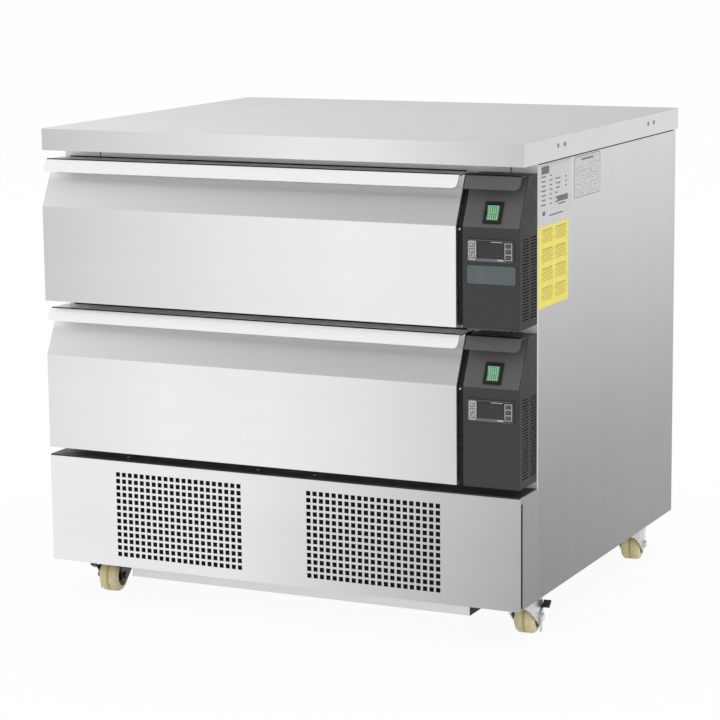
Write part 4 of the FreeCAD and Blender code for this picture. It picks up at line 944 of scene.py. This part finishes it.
yellow = Sticker("yellow_label", 0.0825, 0.2185, 0.488, 0.6215, proud=0.0003)
yellow.film(yellow_paper, 0.001)
for column in (0.29, 0.74):
    for section in range(4):
        top = 0.955 - 0.238 * section
        yellow.mark(column, top, 0.046, 0.0018)
        for rule in range(1, 7):
            wide = 0.052 - 0.010 * ((rule + section) % 3 == 0)
            yellow.mark(column, top - 0.0245 * rule, wide, 0.0010)
yellow.print("yellow_marks", ink_olive)


# Painted shade under the worktop's side edges and behind the base's side slots, and dark joints in the
# front frame

SEAMS_X = (-0.372, 0.399)
SEAM_HALF = 0.0007
SEAM_HEIGHT = 0.0155

slot_front = high("base_grille_panel").y
for side, x, way in (("left", LEFT, -1), ("right", RIGHT, 1)):
    across = (x + way * 0.0002, x + way * 0.0042)
    # Painted shadow: a black strip in the gap under the worktop's side edge
    gap = block(across, (FRAME + 0.001, BACK - 0.014), (UNDER - 0.0022, UNDER - 0.0002))
    settle(f"edge_gap_shadow_{side}", gap, "cabinet", rubber_black)
    # Painted shade: a black sheet behind each side slot of the base
    across = (x - way * 0.0014, x - way * 0.0003)
    depth = (slot_front + 0.0002, slot_front + 0.0071)
    slot_back_shade = block(across, depth, (SKIRT + 0.0032, LEDGE - 0.0105))
    settle(f"slot_back_shade_{side}", slot_back_shade, "cabinet", rubber_black)

seams = []
for x in SEAMS_X:
    for z in (high("handle_lip_upper").z, high("handle_lip_lower").z):
        across = (x - SEAM_HALF, x + SEAM_HALF)
        seams.append(block(across, (FRAME - 0.0004, FRAME - 0.0001), (z, z + SEAM_HEIGHT)))
settle("frame_joints", joined(seams), "cabinet", rubber_black)

# Painted shade: black plates on both ends of the drip tray, where its end faces lie in shade
tray_low, tray_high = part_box("drip_tray")
ends = []
for x, way in ((tray_low.x, -1), (tray_high.x, 1)):
    across = (x + way * 0.0001, x + way * 0.0006)
    ends.append(block(across, (tray_low.y, tray_low.y + 0.10), (tray_low.z, tray_high.z)))
settle("tray_end_shade", joined(ends), "cabinet", plastic_black)


# Air filter behind each grille

GRILLES = (("left", -0.335, -0.045), ("right", 0.036, 0.330))


def filter_finish():
    """Black open-cell filter foam."""
    finish = Finish("filter_foam", grey(0.006), 0.9)
    cells = finish.add("ShaderNodeTexVoronoi")
    cells.inputs["Scale"].default_value = 450.0
    finish.link(finish.place(), cells.inputs["Vector"])
    finish.colour(finish.greys(cells.outputs["Distance"], (0.1, 0.002), (0.7, 0.016)))
    finish.bump(cells.outputs["Distance"], 0.6, 0.001)
    return finish.mat


filter_foam = filter_finish()
for name, start, end in GRILLES:
    place = to_front(((start + end) / 2, FRONT + 0.0125, SKIRT + 0.0950))
    sheet = plate(end - start, 0.172, 0.003, 0.003, place)
    settle(f"air_filter_{name}", sheet, "cabinet", filter_foam)


# Fasteners: the back panel's screws, and heads in place of the CAD's plain screws

# Each head's profile, in shares of its radius and its height

PAN_HEAD = ((1.0, 0.0), (1.0, 0.45), (0.88, 0.8), (0.6, 1.0), (0.3, 1.0))
DRIVE_HEAD = ((1.0, 0.0), (1.0, 0.4), (0.86, 0.85), (0.58, 1.0), (0.46, 1.0), (0.40, 0.3), (0.12, 0.25))


def head(profile, radius, height, matrix):
    return turned([(radius * r, height * h) for r, h in profile], matrix, 20)


screws = []
for x in (-0.425, -0.215, 0.0, 0.215, 0.425):
    for z in (SKIRT + 0.012, 0.42, 0.775):
        screws.append(head(PAN_HEAD, 0.0042, 0.0013, basis((x, BACK, z), (-1, 0, 0), FACE_UP)))
settle("back_screws", joined(screws), "cabinet", zinc_bright)

# The strip screws are one kind, painted as lit and shaded copies: bright zinc near a cover's top for a
# painted highlight, black lower down for painted shade
HEAD_FINISHES = {
    "rivet_heads": zinc_dark,
    "ledge_screws": zinc_bright,
    "strip_screws_bright": zinc_bright,
    "strip_screws_shade": screw_black,
}
HIGHLIGHT_REACH = 0.1
heads = {kind: [] for kind in HEAD_FINISHES}
upper_top = high("control_cover_upper").z
lower_top = high("control_cover_lower").z
for lowest, highest in solids("trim_screws"):
    middle = (lowest + highest) / 2
    span = highest - lowest
    if abs(middle.x) > RIGHT:
        way = 1 if middle.x > 0 else -1
        base = Vector((highest.x if way < 0 else lowest.x, middle.y, middle.z))
        place = basis(base, (0, way, 0), FACE_UP)
        heads["rivet_heads"].append(head(DRIVE_HEAD, span.z / 2, span.x, place))
    elif span.z < 0.8 * span.x:
        place = Matrix.Translation((middle.x, middle.y, lowest.z))
        heads["ledge_screws"].append(head(DRIVE_HEAD, span.x / 2, span.z, place))
    else:
        place = to_front((middle.x, highest.y, middle.z))
        cover_top = upper_top if middle.z > lower_top else lower_top
        near_top = cover_top - middle.z < HIGHLIGHT_REACH
        kind = "strip_screws_bright" if near_top else "strip_screws_shade"
        heads[kind].append(head(DRIVE_HEAD, span.x / 2, span.y, place))
for name, meshes in heads.items():
    piece = settle(name, joined(meshes), "cabinet", HEAD_FINISHES[name])
    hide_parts("trim_screws")


# Castors: a dark ring round each end of the wheel's bolt, and a swivel race under the plate

WHEEL_HALF = 0.018
RING_SINK = 0.0029
RACE_FOOT = 0.0640
HUB_RING = (
    (0.0182, 0.0),
    (0.0182, 0.0008),
    (0.0150, 0.0016),
    (0.0105, 0.0022),
    (0.0060, 0.0022),
    (0.0060, 0.0004),
)
SWIVEL_RACE = ((0.0168, 0.0), (0.0185, 0.0015), (0.0185, 0.0065), (0.0168, 0.008), (0.0120, 0.008))


def hub_frame(axis):
    """Two directions across a wheel's bolt, so that their cross product runs along it."""
    up = Vector(FACE_UP)
    return up.cross(axis), up


for castor in CASTORS:
    roll = joints[f"castor_{castor}_roll"]
    axis = Vector(roll["axis"]).normalized()
    hub = Vector(roll["pos_m"])
    for side, way in (("inner", -1), ("outer", 1)):
        face = basis(hub + axis * way * (WHEEL_HALF - RING_SINK), *hub_frame(axis * way))
        ring = turned(HUB_RING, face, 28)
        settle(f"hub_{side}_{castor}", ring, f"wheel_{castor}", hub_black)
    pin = Vector(joints[f"castor_{castor}_swivel"]["pos_m"])
    collar = turned(SWIVEL_RACE, Matrix.Translation((pin.x, pin.y, RACE_FOOT)))
    settle(f"swivel_race_{castor}", collar, f"castor_{castor}", zinc_bright)


# Stage, light and camera

FLOOR_HALF = 30
FLOOR_GLOW = 0.92


def seen_rays(tree):
    """1 for rays from the camera, off gloss and through glass, and 0 for soft light."""
    path = tree.nodes.new("ShaderNodeLightPath")
    seen = path.outputs["Is Camera Ray"]
    for ray in ("Is Glossy Ray", "Is Transmission Ray"):
        either = tree.nodes.new("ShaderNodeMath")
        either.operation = "MAXIMUM"
        tree.links.new(seen, either.inputs[0])
        tree.links.new(path.outputs[ray], either.inputs[1])
        seen = either.outputs[0]
    return seen


def end_in_blend(tree, share, unseen, seen):
    """Ends a node tree in a mix of two shaders: what soft light meets, and what is seen."""
    blend = tree.nodes.new("ShaderNodeMixShader")
    output = next(n for n in tree.nodes if n.type.startswith("OUTPUT"))
    tree.links.new(share, blend.inputs[0])
    tree.links.new(unseen.outputs[0], blend.inputs[1])
    tree.links.new(seen.outputs[0], blend.inputs[2])
    tree.links.new(blend.outputs[0], output.inputs["Surface"])


def stage_plane():
    """A pale floor that keeps the object's shadow and otherwise shows nearly white."""
    bm = bmesh.new()
    for x, y in ((-1, -1), (1, -1), (1, 1), (-1, 1)):
        bm.verts.new((x * FLOOR_HALF, y * FLOOR_HALF, 0.0))
    bm.faces.new(bm.verts)
    floor = bpy.data.objects.new("floor", to_mesh(bm, "floor"))
    bpy.context.scene.collection.objects.link(floor)
    finish = Finish("floor_pale", grey(1.0), 0.8, specular_ior_level=0.0)
    glow = finish.add("ShaderNodeEmission")
    glow.inputs["Strength"].default_value = 1.0
    share = finish.math("MULTIPLY", seen_rays(finish.tree), FLOOR_GLOW)
    end_in_blend(finish.tree, share, finish.shader, glow)
    paint(floor, finish.mat)


def white_world():
    """A white surround that lights the object a little less than it shows."""
    world = bpy.data.worlds.new("studio")
    bpy.context.scene.world = world
    world.use_nodes = True
    tree = world.node_tree
    soft = next(n for n in tree.nodes if n.type == "BACKGROUND")
    white = tree.nodes.new("ShaderNodeBackground")
    for background, strength in ((soft, 0.88), (white, 1.0)):
        background.inputs["Color"].default_value = (1, 1, 1, 1)
        background.inputs["Strength"].default_value = strength
    end_in_blend(tree, seen_rays(tree), soft, white)


def lamp(name, place, size, power):
    """A round soft lamp that looks at the object's middle."""
    data = bpy.data.lights.new(name, "AREA")
    data.shape = "DISK"
    data.size = size
    data.energy = power
    obj = bpy.data.objects.new(name, data)
    obj.location = place
    aim = Vector((0, 0, 0.4)) - Vector(place)
    obj.rotation_euler = aim.to_track_quat("-Z", "Y").to_euler()
    bpy.context.scene.collection.objects.link(obj)


stage_plane()
white_world()
lamp("overhead", (0.3, 1.2, 6.5), 6.0, 44)
lamp("left", (-6.0, -1.5, 2.8), 5.0, 34)
lamp("right", (5.5, -3.5, 2.2), 5.0, 18)

camera = bpy.data.cameras.new("photo")
camera.lens = 125.84
camera.sensor_width = 36.0
view = bpy.data.objects.new("photo", camera)
view.matrix_world = Matrix(
    (
        (0.90379, -0.066142, 0.422834, 1.918936),
        (0.427856, 0.163004, -0.889027, -4.081493),
        (-0.010122, 0.984406, 0.175621, 1.194556),
        (0.0, 0.0, 0.0, 1.0),
    )
)
bpy.context.scene.collection.objects.link(view)
bpy.context.scene.camera = view
bpy.context.scene.view_settings.view_transform = "Standard"
